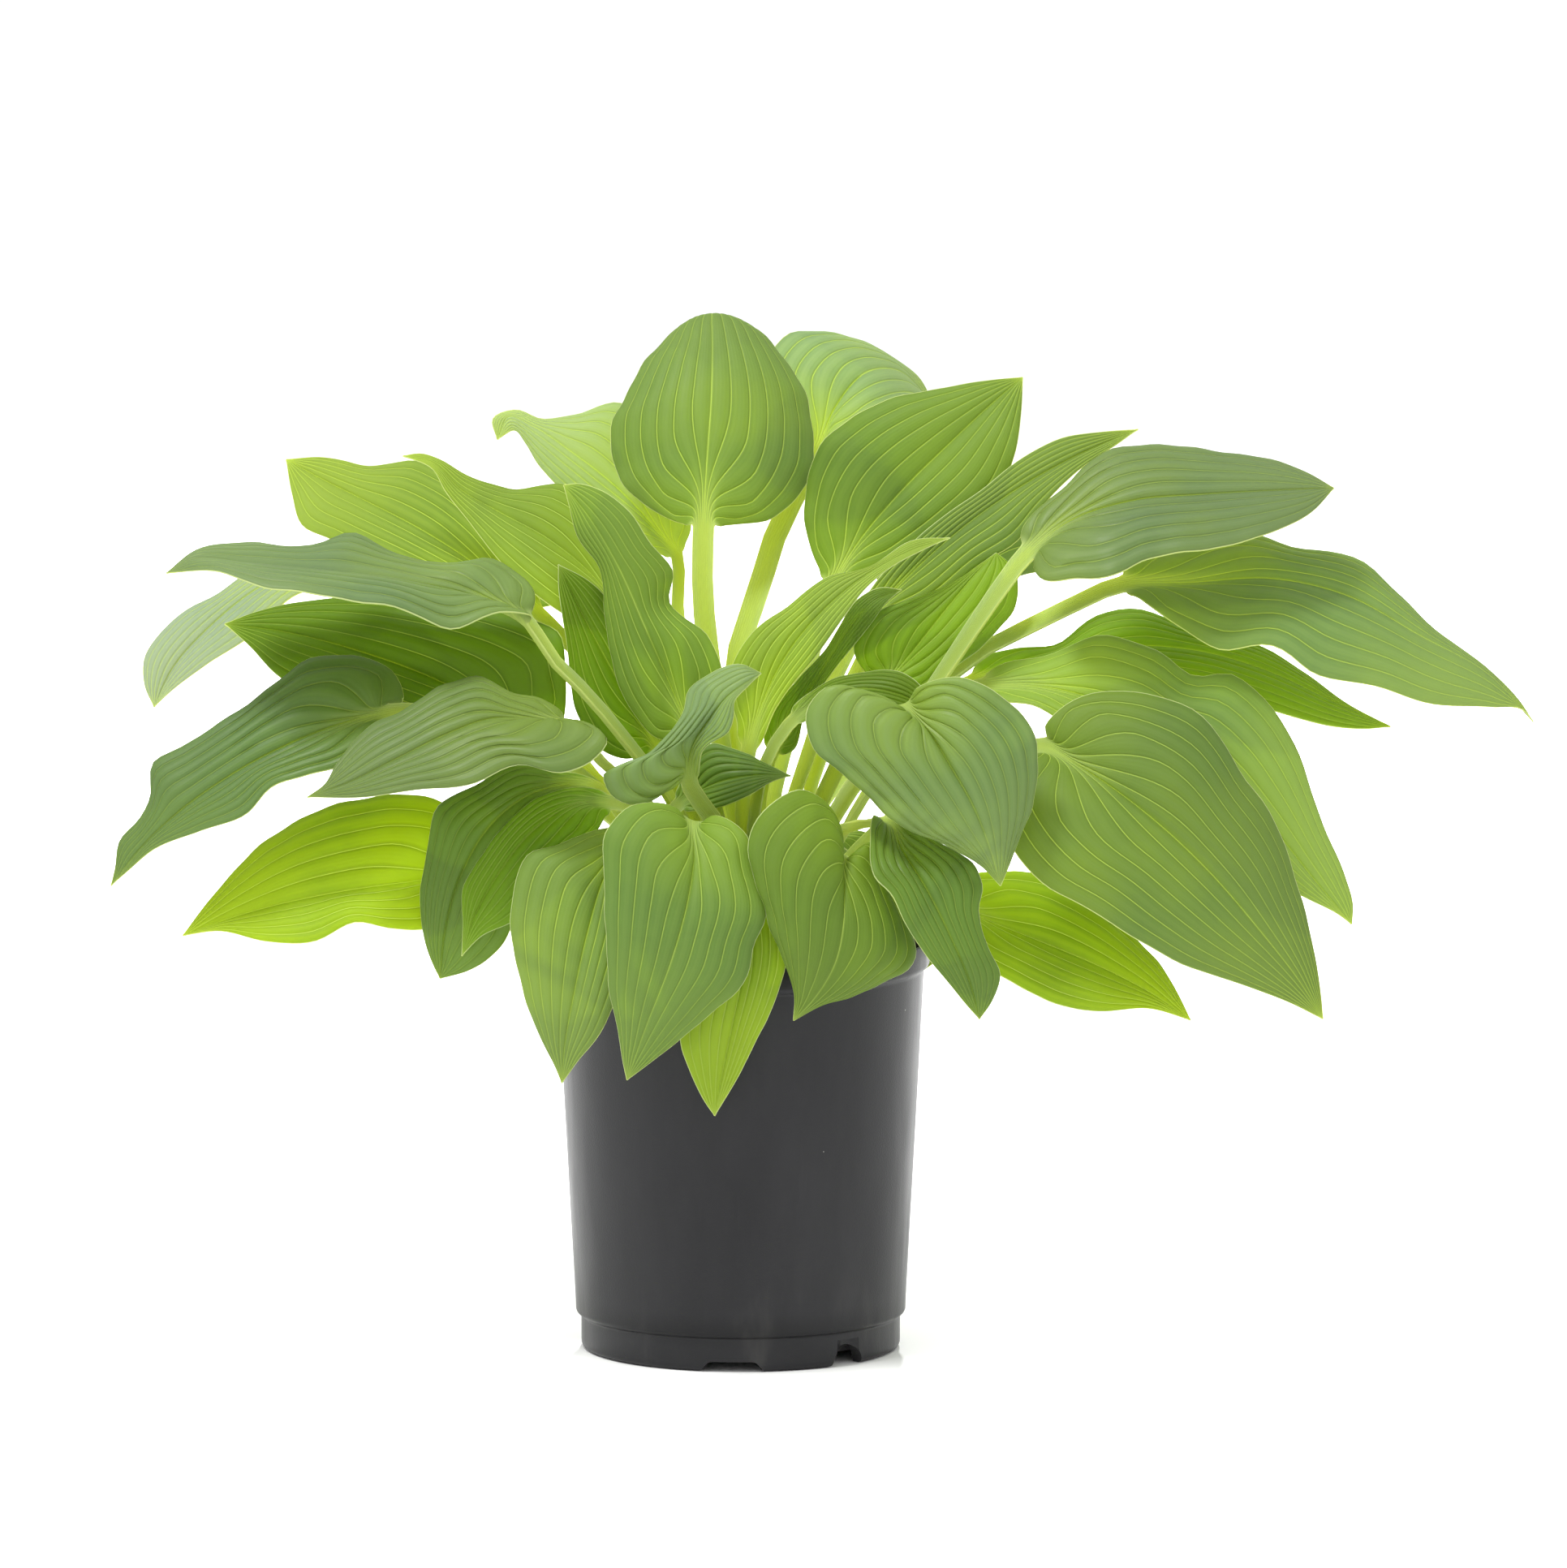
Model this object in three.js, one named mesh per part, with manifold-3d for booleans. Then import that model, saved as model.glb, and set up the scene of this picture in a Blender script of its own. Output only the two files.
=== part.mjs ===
// Potted hosta: a nursery pot of dark plastic, filled with bark compost, and a full crown of
// hosta leaves. Each leaf is one solid: its channelled petiole, which stands in a plain hole in
// the compost, its midrib and its blade. Millimetres, +Z up, +X right, -Y front, with the origin
// on the pot's axis at the level that it stands on.
import * as THREE from "three";
import { mergeVertices } from "three/addons/utils/BufferGeometryUtils.js";
import Module from "manifold-3d";

const wasm = await Module();
wasm.setup();

// Pot
const POT_HEIGHT = 180;
const RIM_RADIUS = 82.4;
const RIM_DEPTH = 13;
const RIM_ROUND = 0.6;
const RIM_CREASE = POT_HEIGHT - RIM_DEPTH;
const CREASE_RISE = { outside: 2.2, inside: 2.8, wall: 0.6 };
const BODY_TOP_RADIUS = 80;
const BODY_MIDDLE = { radius: 77.2, z: 113 };
const BODY_FOOT = { radius: 72, z: 19 };
const BODY_CORNER = { radius: 71.2, z: 16.2 };
const FOOT_RING = { outer: 69.6, base: 67.4, inner: 63.4, bevel: 2.6, z: 14.4, floor: 5 };
const FOOT_STEP = { radius: 65, z: 12.8 };
const CENTRE_FOOT = { radius: 17, chamfer: 1 };
const WALL = 1.6;
const FLOOR = 2;
const POT_SIDES = 48;
const FOOT_NOTCH = { azimuths: [-93, 27, 147], topWidth: 21, baseWidth: 30, height: 4.4 };
const DRAIN_ARCH = { azimuths: [-47.5, 72.5], width: 17, height: 9, steps: 8 };
const DRAIN_NICHE = { radius: 10, centre: 76.4, height: 11.6, sides: 24 };
const CUT_MARGIN = 1.5;

// Compost
const SOIL_LEVEL = 160;
const SOIL_DOME = 3;
const SOIL_FLAT = 45;
const SOIL_SHOULDER = { part: 0.72, drop: 0.6 };
const SOIL_SIDES = 36;
const FIT_GAP = 0.3;
const HOLE = { radius: 3.5, sides: 6, floor: 145, depth: 30 };

// Crown: the petioles rise from rings about this centre
const CROWN = { x: 6, y: -2 };

// Leaf section
const BLADE_THICKNESS = 0.8;
const CAMBER = 0.1;
const ROOT_RADIUS = 2.2;
const ROOT_RISE = 6;
const ROOT_BULGE = 1.5;
const PETIOLE_DEPTH = 2.6;
const CHANNEL_LIFT = 0.7;
const CHANNEL_DEPTH = 0.9;
const TIP_HALF_WIDTH = 0.5;

// How the section changes along the leaf, in parts of the petiole and of the blade
const ROUND_TO = 0.1;
const CHANNEL_FROM = 0.4;
const WIDE_FROM = 0.7;
const CHANNEL_END = 0.25;
const RIB_END = 0.3;
const KEEL_END = 0.7;
const BASE_LENGTH = 0.14;

// Rows and columns of the leaf's mesh
const ACROSS = [-1, -0.5, 0, 0.5, 1];
const ALONG_PETIOLE = [0, 0.1, 0.32, 0.55, 0.78];
const ALONG_BLADE = [0, 0.05, 0.14, 0.25, 0.37, 0.49, 0.61, 0.74, 0.86, 0.95, 1];

// Reach of a direction's sample along the leaf, and the stretch of blade wide enough to face by
const SMALL_STEP = 0.004;
const WIDE_BLADE = { from: 0.15, to: 0.9 };

// Leaf points are given as [across, up, depth]: where they appear in a front picture, and how far
// behind the plane of the pot's axis they lie. A change of depth slides a point along its line of
// sight. About its centre the picture widens upwards by its taper, for each millimetre, and its
// heights are stretched.
const VIEW_POINT = new THREE.Vector3(18.7, -12000, 2087);
const PICTURE = { across: 18.7, up: 248, taper: 3.93e-5, stretch: 1.003 };

// One row per leaf. root is [ring radius, azimuth] in the crown, stem the points that the petiole
// bends through, rib the midrib from the base of the blade to its tip. left and right are the
// margins as seen on the upper face with the tip ahead; their depth is measured from the rib,
// and lean adds to it for each millimetre that the margin stands above the rib.
const LEAVES = [
  {
    name: "leaf_01", tone: "mid", root: [10, 90], petiole: 4.2,
    stem: [[-12, 290, 14], [-16.5, 335, 22]],
    rib: [[-16, 360, 28], [-14.5, 388, 34], [-12.5, 416, 46], [-12, 438, 62], [-12, 452.5, 78],
      [-10, 445, 90]],
    left: [[-27, 362, 2], [-43, 371, 5], [-54, 384, 8], [-56, 401, 8], [-49, 419, 6],
      [-39, 434, 4], [-27, 445.5, 4]],
    right: [[-4, 361, 2], [14, 364, 6], [28, 377, 10], [32, 401, 12], [24, 426, 8],
      [8, 444.5, 4], [-3, 448.5, 2]],
  },
  {
    name: "leaf_02", tone: "light", root: [19, 76], petiole: 4.5, lean: 0.5,
    stem: [[-1, 305, 28], [8, 332, 46], [15, 355, 64]],
    rib: [[33, 392, 88], [41, 412, 94], [54, 427, 104], [68, 428, 119], [84, 412, 134]],
    left: [[22, 400, 4], [12, 416, 6], [11, 432, 8], [18, 441.5, 8], [31, 445.5, 6],
      [49, 441.5, 4], [65, 434, 2], [77, 425, 0]],
    right: [[46, 390, 0], [60, 394, -2], [74, 402, -4], [83, 406, -4]],
  },
  {
    name: "leaf_03", tone: "mid", root: [10, 45], petiole: 3.6, lean: 0.2,
    stem: [[15, 240, 12], [30, 300, 16]],
    rib: [[40, 334, 21], [50, 352, 23], [68, 374, 25], [90, 396, 29], [108, 413, 34],
      [122, 425, 39]],
    left: [[33, 345, 6], [28, 362, 10], [28, 378, 12], [35, 396, 10], [48, 408, 6],
      [66, 416, 4], [90, 421, 2], [110, 424, 1]],
    right: [[52, 337, -2], [72, 345, -3], [95, 358, -3], [112, 374, -3], [119, 393, -3],
      [121.5, 411, -1]],
  },
  {
    name: "leaf_04", tone: "pale", root: [19, 98], petiole: 2.4, lean: 0.5,
    stem: [[-28, 330, 58]],
    rib: [[-28, 347, 62], [-38, 361, 64], [-52, 376, 68], [-72, 392, 72], [-90, 404, 76],
      [-100, 408, 78], [-105, 398, 78]],
    left: [[-34, 348, -1], [-58, 360, 4], [-78, 377, 4], [-88, 388, 3], [-93, 397, 2],
      [-97, 402, 1]],
    right: [[-22, 358, 4], [-27, 382, 6], [-40, 404, 6], [-53, 414, 5], [-70, 409.5, 3],
      [-86, 407, 2], [-97, 411, 1], [-107, 407, 0]],
  },
  {
    name: "leaf_05", tone: "bright", root: [19, 142], petiole: 3, lean: 0.7,
    stem: [],
    rib: [[-88, 322, 26], [-112, 342, 29], [-138, 359, 32], [-165, 373, 34], [-183, 382, 36],
      [-196.5, 389.5, 37]],
    left: [[-104, 322, 0], [-130, 334, 0], [-156, 345, 0], [-178, 355, 0], [-190, 361, 0],
      [-194, 374, 0]],
    right: [[-96, 346, 4], [-110, 366, 6], [-124, 381, 6], [-140, 388.5, 5], [-160, 387, 3],
      [-182, 390.5, 1]],
  },
  {
    name: "leaf_06", tone: "bright", root: [10, 135], petiole: 3.2, lean: 0.6,
    stem: [],
    rib: [[-50, 318, 2], [-63, 338, 5], [-83, 355, 8], [-105, 367, 11], [-122, 377, 13],
      [-133, 388, 14], [-146, 391, 14]],
    left: [[-66, 318, -2], [-88, 330, -3], [-104, 345, -3], [-118, 363, -2], [-128, 376, -1],
      [-133, 385, 0]],
    right: [[-52, 345, 5], [-60, 368, 8], [-76, 378.5, 8], [-100, 377, 6], [-118, 382.5, 4],
      [-130, 389.5, 2], [-138, 392, 1]],
  },
  {
    name: "leaf_07", tone: "mid", root: [10, -135], petiole: 3.4, lean: 0.3,
    stem: [],
    rib: [[-21, 268, -26], [-30, 290, -26], [-42, 318, -26], [-54, 345, -25], [-66, 365, -22],
      [-76.5, 378.5, -18]],
    left: [[-36, 268, 2], [-48, 281, 4], [-56, 302, 6], [-59, 324, 7], [-61, 342, 5],
      [-71, 357, 3], [-74, 369, 1]],
    right: [[-8, 280, 0], [-8, 298, -2], [-14, 313, 0], [-31, 328, 8], [-29, 341, 6],
      [-39, 353, 2], [-48, 367, 0], [-60, 376, 0], [-70, 379, 0]],
  },
  {
    name: "leaf_08", tone: "grey", root: [19, 164], petiole: 4.2,
    stem: [[-30, 240, -20], [-45, 260, -26], [-66, 286, -30], [-84, 305, -32]],
    rib: [[-92, 318, -33], [-112, 329, -36], [-145, 337, -38], [-180, 341, -40],
      [-215, 344.5, -42], [-238, 346, -43], [-249, 340, -43]],
    left: [[-92, 321, -12], [-104, 323, -20], [-125, 316.5, -28], [-145, 324, -32],
      [-175, 330, -34], [-205, 334, -28], [-228, 341, -14]],
    right: [[-90, 332, 16], [-96, 340, 26], [-108, 347, 30], [-122, 343, 34], [-145, 347, 38],
      [-168, 357, 38], [-185, 352, 34], [-212, 353, 26], [-235, 350.5, 12]],
  },
  {
    name: "leaf_09", tone: "pale", root: [28, 155], petiole: 3, lean: 0.7,
    stem: [[-80, 272, 46]],
    rib: [[-140, 345, 62], [-172, 347, 66], [-205, 336, 70], [-230, 317, 72], [-247, 298, 73],
      [-255, 281.5, 73]],
    left: [[-150, 335, -4], [-172, 335, -6], [-192, 331, -6], [-212, 313, -5],
      [-232, 300, -3], [-248, 288, -1]],
    right: [[-152, 350, 6], [-178, 352, 8], [-205, 346, 8], [-226, 332, 6], [-247, 319, 4],
      [-259, 303, 2], [-259, 291, 1]],
  },
  {
    name: "leaf_10", tone: "deep", root: [28, 172], petiole: 3.2, lean: 0.5,
    stem: [],
    rib: [[-80, 264, -8], [-106, 280, -1], [-135, 295, 4], [-165, 306, 6], [-195, 314, 6],
      [-224, 318, 4]],
    left: [[-95, 257, -4], [-125, 266, -5], [-155, 275, -5], [-182, 285, -4],
      [-202, 296, -2], [-213, 308, -1]],
    right: [[-76.5, 277, -7], [-76, 298, -17], [-78.5, 314, -22], [-92, 321, -14], [-110, 325, -6],
      [-130, 328, 0], [-160, 330, 3], [-190, 328, 2], [-211, 323, 1]],
  },
  {
    name: "leaf_11", tone: "dark", root: [19, -174], petiole: 3.4, lean: 0.5,
    stem: [],
    rib: [[-152, 279, -36], [-175, 274, -42], [-200, 264, -47], [-225, 250, -50],
      [-248, 233, -52], [-264, 217, -53], [-275, 203, -53]],
    left: [[-158, 268, -6], [-172, 257, -8], [-190, 251.5, -8], [-205, 246, -7],
      [-215, 235, -6], [-236, 227, -4], [-256, 219, -2], [-268, 209, 0]],
    right: [[-147, 283, 4], [-151, 297, 7], [-165, 304.5, 8], [-185, 303.5, 8],
      [-204, 292, 7], [-222, 278, 6], [-243, 265, 5], [-256, 258, 4], [-257, 243, 4],
      [-262, 233, 2], [-271, 223, 1], [-273, 211, 0]],
  },
  {
    name: "leaf_12", tone: "grey", root: [19, -152], petiole: 3.2, lean: 0.8,
    stem: [[-38, 236, -24], [-64, 261, -44]],
    rib: [[-75, 273, -62], [-90, 276, -68], [-108, 277, -73], [-128, 270, -78],
      [-150, 259, -82], [-172, 248, -84], [-189, 242, -84]],
    left: [[-66, 273, -8], [-58, 267, -9], [-64, 259, -7], [-78, 253, -6], [-97, 256.5, -6],
      [-118, 247.5, -5], [-140, 245.5, -4], [-165, 242, -2]],
    right: [[-79, 279, 4], [-88, 285.5, 6], [-100, 288, 7], [-114, 296, 8], [-128, 292, 7],
      [-146, 281.5, 6], [-163, 272, 4], [-176, 257, 2], [-181, 248, 1]],
  },
  {
    name: "leaf_13", tone: "bright", root: [28, -171], petiole: 3.2, lean: 0.5,
    stem: [],
    rib: [[-106, 212, -28], [-138, 206, -34], [-172, 201, -38], [-205, 194, -41],
      [-228, 187, -42], [-244, 181, -42]],
    left: [[-118, 198, -4], [-138, 184, -6], [-152, 184, -6], [-168, 187, -5],
      [-186, 178.5, -5], [-208, 178.5, -4], [-228, 183, -2]],
    right: [[-112, 232, 4], [-130, 240, 6], [-150, 244, 6], [-172, 240, 6], [-196, 231, 5],
      [-217, 214, 4], [-232, 197, 2]],
  },
  {
    name: "leaf_14", tone: "dark", root: [28, -156], petiole: 3.2, lean: 0.3,
    stem: [[-44, 218, -30]],
    rib: [[-64, 246, -42], [-88, 245, -50], [-108, 231, -55], [-122, 208, -58],
      [-129, 184, -58], [-131.5, 162, -57]],
    left: [[-66, 234, -2], [-78, 222, -3], [-90, 205, -3], [-98, 190, -2], [-104, 177, -1],
      [-118, 166, 0]],
    right: [[-78, 252, 3], [-97, 257, 5], [-115, 248, 6], [-131, 239.5, 6], [-137, 219, 5],
      [-140, 195, 4], [-138, 178, 3], [-134, 167, 1]],
  },
  {
    name: "leaf_15", tone: "deep", root: [28, -140], petiole: 3.2, lean: 0.3,
    stem: [],
    rib: [[-57, 239, -54], [-72, 239, -60], [-90, 228, -66], [-106, 208, -69],
      [-116, 190, -69], [-122, 172, -68]],
    left: [[-62, 228, -2], [-74, 214, -3], [-86, 200, -3], [-100, 187, -2], [-113, 181, -1]],
    right: [[-70, 246, 3], [-86, 243, 4], [-100, 233, 4], [-112, 218, 4], [-121, 203, 3],
      [-121.5, 185, 1]],
  },
  {
    name: "leaf_16", tone: "light", root: [28, -123], petiole: 3.2,
    stem: [],
    rib: [[-46, 228, -65.5], [-59, 208, -83.5], [-67, 182, -93.5], [-73, 155, -96.5],
      [-77, 133, -95.5], [-78.5, 115.5, -93.5]],
    left: [[-42, 215, -1], [-44, 195, -2], [-48, 175, -2], [-54, 155, -2], [-62, 137, -1],
      [-71, 126, 0]],
    right: [[-62, 227.5, 2], [-80, 221.5, 4], [-93, 216.5, 5], [-100, 198, 5],
      [-99.5, 175, 5], [-94, 152, 4], [-87, 134, 2], [-81, 122, 1]],
  },
  {
    name: "leaf_17", tone: "mid", root: [28, -106], petiole: 3.6,
    stem: [[-14, 214, -50]],
    rib: [[-21, 231, -76], [-20.5, 213, -96], [-24, 192, -108], [-31, 168, -113],
      [-41, 142, -112], [-50, 117, -108]],
    left: [[-10, 233, -2], [2, 226, 0], [6, 211, 3], [11, 191, 5], [6, 176, 6], [3, 163, 5],
      [-10, 149, 4], [-28, 134, 3], [-42, 123, 1]],
    right: [[-33, 238.5, -2], [-48, 238.5, 0], [-59, 226, 4], [-60, 208, 6], [-59, 185, 6],
      [-58, 160, 5], [-54, 140, 3], [-51.5, 124, 1]],
  },
  {
    name: "leaf_18", tone: "bright", root: [28, -88], petiole: 2.8,
    stem: [],
    rib: [[5, 210, -76], [4, 192, -90], [1, 165, -95], [-4, 140, -95], [-8.5, 118, -94],
      [-11.5, 101, -93]],
    left: [[13, 205, 0], [18, 186, 1], [19.5, 168, 1], [15, 152, 1], [8, 137, 1],
      [-2, 117, 0]],
    right: [[-4, 205, 0], [-14, 186, 1], [-22, 160, 1], [-27, 138, 1], [-22, 120, 1],
      [-15, 106, 0]],
  },
  {
    name: "leaf_19", tone: "mid", root: [28, -70], petiole: 3.4,
    stem: [[32, 200, -56]],
    rib: [[43, 217, -82], [45, 203, -98], [45, 186, -108], [41, 168, -111], [32, 153, -109],
      [23, 143.5, -105]],
    left: [[49, 218, 0], [57, 222, 6], [63, 212, 14], [70, 195, 20], [76, 181, 24],
      [77, 172, 24], [66, 162, 18], [50, 154.5, 10], [36, 150.5, 4]],
    right: [[42, 230, -2], [37, 240, 0], [28, 245.5, 2], [14, 240, 4], [4, 227, 6],
      [5, 209, 6], [11, 190, 5], [19, 169, 4], [23.5, 154, 1]],
  },
  {
    name: "leaf_20", tone: "dark", root: [28, -52], petiole: 3.2,
    stem: [[34, 220, -44], [48, 229, -50]],
    rib: [[63, 231, -62], [71, 218, -84], [82, 200, -98], [92, 180, -104], [100, 161, -104],
      [104.5, 144, -100]],
    left: [[72, 230, -3], [88, 222, -3], [103, 211, 2], [106, 203, 6], [104, 192, 6],
      [108, 177, 5], [113.5, 163, 3], [110, 152, 1]],
    right: [[59, 233, -2], [56.5, 222, -10], [58, 208, -14], [66, 199, -10], [71, 188, -6],
      [79, 175, -3], [91, 160, 0], [100, 149, 0]],
  },
  {
    name: "leaf_21", tone: "grey", root: [19, -64], petiole: 3.6,
    stem: [[44, 238, -42], [60, 262, -58]],
    rib: [[70, 282, -76], [81, 272, -88], [92, 255, -98], [102, 237, -103], [109, 219, -104],
      [113.5, 203, -103]],
    left: [[78, 290, -2], [94, 295, 0], [110, 289, 3], [126, 274, 6], [130, 256, 8],
      [127, 238, 8], [121, 222, 5], [116, 209, 1]],
    right: [[62, 284, -2], [50, 289, 0], [38, 290.5, 1], [29, 282, 3], [30, 266, 5],
      [42, 254, 6], [56, 241, 6], [72, 228, 5], [91, 220, 4], [106, 211, 2]],
  },
  {
    name: "leaf_22", tone: "bright", root: [28, -34], petiole: 3.2, lean: 0.8,
    stem: [],
    rib: [[90, 195, -54], [110, 187, -58], [135, 177, -61], [160, 166, -63], [182, 154, -64],
      [197, 143.5, -64]],
    left: [[98, 206, 3], [115, 210, 4], [135, 207, 5], [155, 196, 5], [174, 179, 4],
      [187, 163, 2], [193, 152, 1]],
    right: [[92, 182, -3], [103, 170, -4], [118, 161, -4], [136, 151.5, -3], [155, 147.5, -2],
      [180, 148.5, -1]],
  },
  {
    name: "leaf_23", tone: "mid", root: [28, -16], petiole: 3.6, lean: 0.35,
    stem: [[70, 220, -24], [108, 253, -38]],
    rib: [[131, 264, -50], [147, 256, -60], [172, 239, -72], [202, 212, -80], [228, 182, -84],
      [245, 160, -85], [255, 144, -84]],
    left: [[133, 273, 0], [140, 281, 2], [156, 288.5, 4], [180, 287, 6], [203, 276, 7],
      [220, 250, 8], [235, 228, 7], [244, 200, 6], [251, 173, 4], [254, 154, 1]],
    right: [[121, 256, -4], [113, 238, -6], [119, 219, -6], [133, 203, -4], [152, 193, -2],
      [170, 181, 0], [192, 169, 1], [217, 160, 1], [240, 151.5, 1]],
  },
  {
    name: "leaf_24", tone: "light", root: [19, -42], petiole: 3.4, lean: 0.5,
    stem: [],
    rib: [[104, 290, -14], [135, 290, -24], [170, 279, -32], [203, 258, -38], [230, 231, -42],
      [251, 205, -44], [267, 186, -44]],
    left: [[113, 299, 3], [132, 303.5, 5], [157, 313, 6], [181, 307, 7], [198, 295, 7],
      [214, 296, 7], [232, 281, 6], [244, 258, 5], [255, 228, 4], [264, 207, 2],
      [267.5, 194, 1]],
    right: [[112, 284, -3], [127, 282, -4], [147, 270, -4], [175, 252, -3], [205, 228, -2],
      [228, 208, -1], [248, 197, 0], [260, 191, 0]],
  },
  {
    name: "leaf_25", tone: "deep", root: [19, 24], petiole: 3, lean: 0.8,
    stem: [],
    rib: [[100, 292, 20], [130, 299, 20], [162, 308, 20], [195, 307, 19], [228, 298, 18],
      [258, 284, 17], [283, 273, 16]],
    left: [[104, 301, 3], [119, 307, 4], [137, 309, 5], [156, 323, 6], [172, 325, 6],
      [192, 317, 6], [222, 310, 5], [245, 297, 3], [264, 283, 1]],
    right: [[112, 286, -3], [140, 288, -4], [170, 293, -4], [200, 290, -3], [232, 280, -2],
      [258, 273, -1], [272, 272, 0]],
  },
  {
    name: "leaf_26", tone: "mid", root: [19, 2], petiole: 4.6, lean: 0.35,
    stem: [[60, 252, 0], [103, 304, 4], [132, 319, 5]],
    rib: [[165, 334, 6], [195, 336, 5], [230, 338, 2], [262, 331, -1], [295, 313, -4],
      [325, 296, -6], [345, 275, -7]],
    left: [[168, 343, 6], [188, 352, 14], [215, 358, 18], [240, 352, 18], [266, 347, 15],
      [284, 333, 12], [302, 315, 9], [324, 299, 5], [339, 284, 2]],
    right: [[172, 329, -8], [190, 317, -15], [208, 307, -20], [230, 309, -20],
      [250, 296, -17], [275, 291, -13], [300, 283, -8], [327, 281.5, -3], [341, 280, -1]],
  },
  {
    name: "leaf_27", tone: "grey", root: [19, -20], petiole: 5.6, lean: 0.9,
    stem: [[70, 268, -22], [94, 304, -20], [110, 328, -18]],
    rib: [[125, 348, -17], [143, 363, -16], [170, 372, -15], [200, 374.5, -13],
      [230, 376, -10], [257, 377, -6]],
    left: [[124, 360, 4], [138, 376, 7], [154, 391, 8], [172, 396.5, 8], [200, 394, 7],
      [226, 390.5, 5], [245, 384, 2]],
    right: [[131, 337, -3], [146, 338, -6], [160, 338.5, -8], [175, 346, -8], [205, 351, -7],
      [232, 358.5, -4], [248, 367, -1]],
  },
  {
    name: "leaf_28", tone: "mid", root: [0, 0], petiole: 3.2, lean: 0.25,
    stem: [[30, 260, 3]],
    rib: [[50, 312, 7], [74, 340, 9], [104, 366, 12], [132, 384, 16], [156, 396, 21],
      [172, 402.5, 27]],
    left: [[55, 330, 0], [72, 351, 0], [88, 365, 0], [106, 377.5, 0], [120, 389, 1],
      [140, 399, 1], [157, 401.5, 0]],
    right: [[62, 318, -2], [84, 328, -3], [104, 344, -4], [120, 354, -4], [130, 368, -4],
      [148, 386, -3], [163, 396, -1]],
  },
  {
    name: "leaf_29", tone: "mid", root: [28, 138], petiole: 3,
    stem: [],
    rib: [[-66, 240, 72], [-84, 252, 100], [-98, 250, 126], [-108, 236, 146],
      [-112, 216, 158]],
    left: [[-80, 234, -10], [-102, 242, -16], [-117, 238, -18], [-120, 224, -10]],
    right: [[-60, 244, 8], [-64, 253, 14], [-76, 247, 18], [-94, 230, 12]],
  },
  {
    name: "leaf_30", tone: "mid", root: [28, 120], petiole: 3,
    stem: [],
    rib: [[-34, 220, 60], [-54, 225, 88], [-70, 214, 114], [-79, 190, 132], [-83, 160, 142]],
    left: [[-54, 213, -10], [-80, 213, -16], [-97, 198, -16], [-99, 176, -8]],
    right: [[-24, 221, 10], [-34, 221, 16], [-46, 205, 18], [-60, 180, 12]],
  },
  {
    name: "leaf_31", tone: "bright", root: [10, -90], petiole: 3, lean: 0.5,
    stem: [],
    rib: [[4, 263, -24], [9, 282, -24], [19, 303, -24], [35, 323, -22], [54, 339, -19],
      [74, 350, -14], [91, 355.5, -10]],
    left: [[-1, 275, 1], [-5, 296, 2], [4, 313, 2], [20, 325.5, 2], [36, 337.5, 2],
      [56, 343, 1], [75, 354.5, 0]],
    right: [[10, 272, -1], [20, 288, -2], [33, 304, -2], [45, 321, -2], [55, 334, -1],
      [66, 343, 0], [79, 350, 0]],
  },
  {
    name: "leaf_32", tone: "dark", root: [10, -45], petiole: 2.6,
    stem: [],
    rib: [[14, 262, -12], [25, 281, -12], [37, 300, -11], [48, 317, -10], [59, 329, -8],
      [70, 333, -6]],
    left: [[10, 272, 1], [24, 293, 2], [37, 307, 2], [43, 317, 2], [51, 329, 1],
      [61, 334, 0]],
    right: [[22, 262, -1], [28, 278, -2], [38, 294, -2], [48, 307, -2], [56, 317, -1],
      [64, 328, 0]],
  },
  {
    name: "leaf_33", tone: "deep", root: [10, 0], petiole: 3.4, lean: 0,
    stem: [[40, 250, -2]],
    rib: [[62, 290, -11], [77, 309, -9], [92, 328, -6], [102, 340, -3], [111, 349, 1]],
    left: [[55, 296, 1], [49, 306, 2], [57, 322, 3], [74, 329, 2], [92, 336, 1]],
    right: [[75, 287, -1], [92, 298, -1], [108, 311, 0], [120, 328, 2], [119, 342, 2]],
  },
  {
    name: "leaf_34", tone: "mid", root: [28, 102], petiole: 3,
    stem: [],
    rib: [[0, 220, 66], [-4, 225, 98], [-8, 214, 130], [-10, 188, 152], [-12, 156, 162]],
    left: [[-14, 217, -2], [-31, 216, 0], [-38, 197, 2], [-33, 172, 2]],
    right: [[15, 216, 2], [29, 214, 0], [32, 194, 0], [18, 170, 0]],
  },
  {
    name: "leaf_35", tone: "dark", root: [19, -86], petiole: 2.6,
    stem: [],
    rib: [[24, 276, -38], [38, 287, -42], [54, 290, -46], [70, 287, -49], [84, 280, -50]],
    left: [[26, 283, 3], [38, 293, 4], [54, 297, 4], [70, 297, 3], [80, 289, 1]],
    right: [[34, 279, -2], [48, 282, -3], [62, 281, -2], [75, 278, -1]],
  },
  {
    name: "leaf_36", tone: "grey", root: [19, -108], petiole: 3.4,
    stem: [[-12, 232, -44]],
    rib: [[-23, 250, -55], [-21, 264, -60], [-14, 276, -62], [-6, 286, -62], [2, 292, -61],
      [9, 296.5, -60]],
    left: [[-33, 245, -4], [-44, 239, -6], [-57, 243, -6], [-60, 252, -5], [-46, 258, -2],
      [-34, 268, 0], [-25, 279, 2], [-23, 289, 4], [-14, 296, 4], [0, 300.5, 2]],
    right: [[-20, 257, -2], [-14, 265, -3], [-5, 271, -3], [-3, 277, -2], [-2.5, 284, -1],
      [3, 290.5, 0]],
  },
  {
    name: "leaf_37", tone: "dark", root: [19, -130], petiole: 2.8, lean: 0.3,
    stem: [],
    rib: [[-26, 239, -32], [-14, 247, -36], [0, 251, -39], [12, 252, -40], [22, 251.5, -39]],
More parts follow.
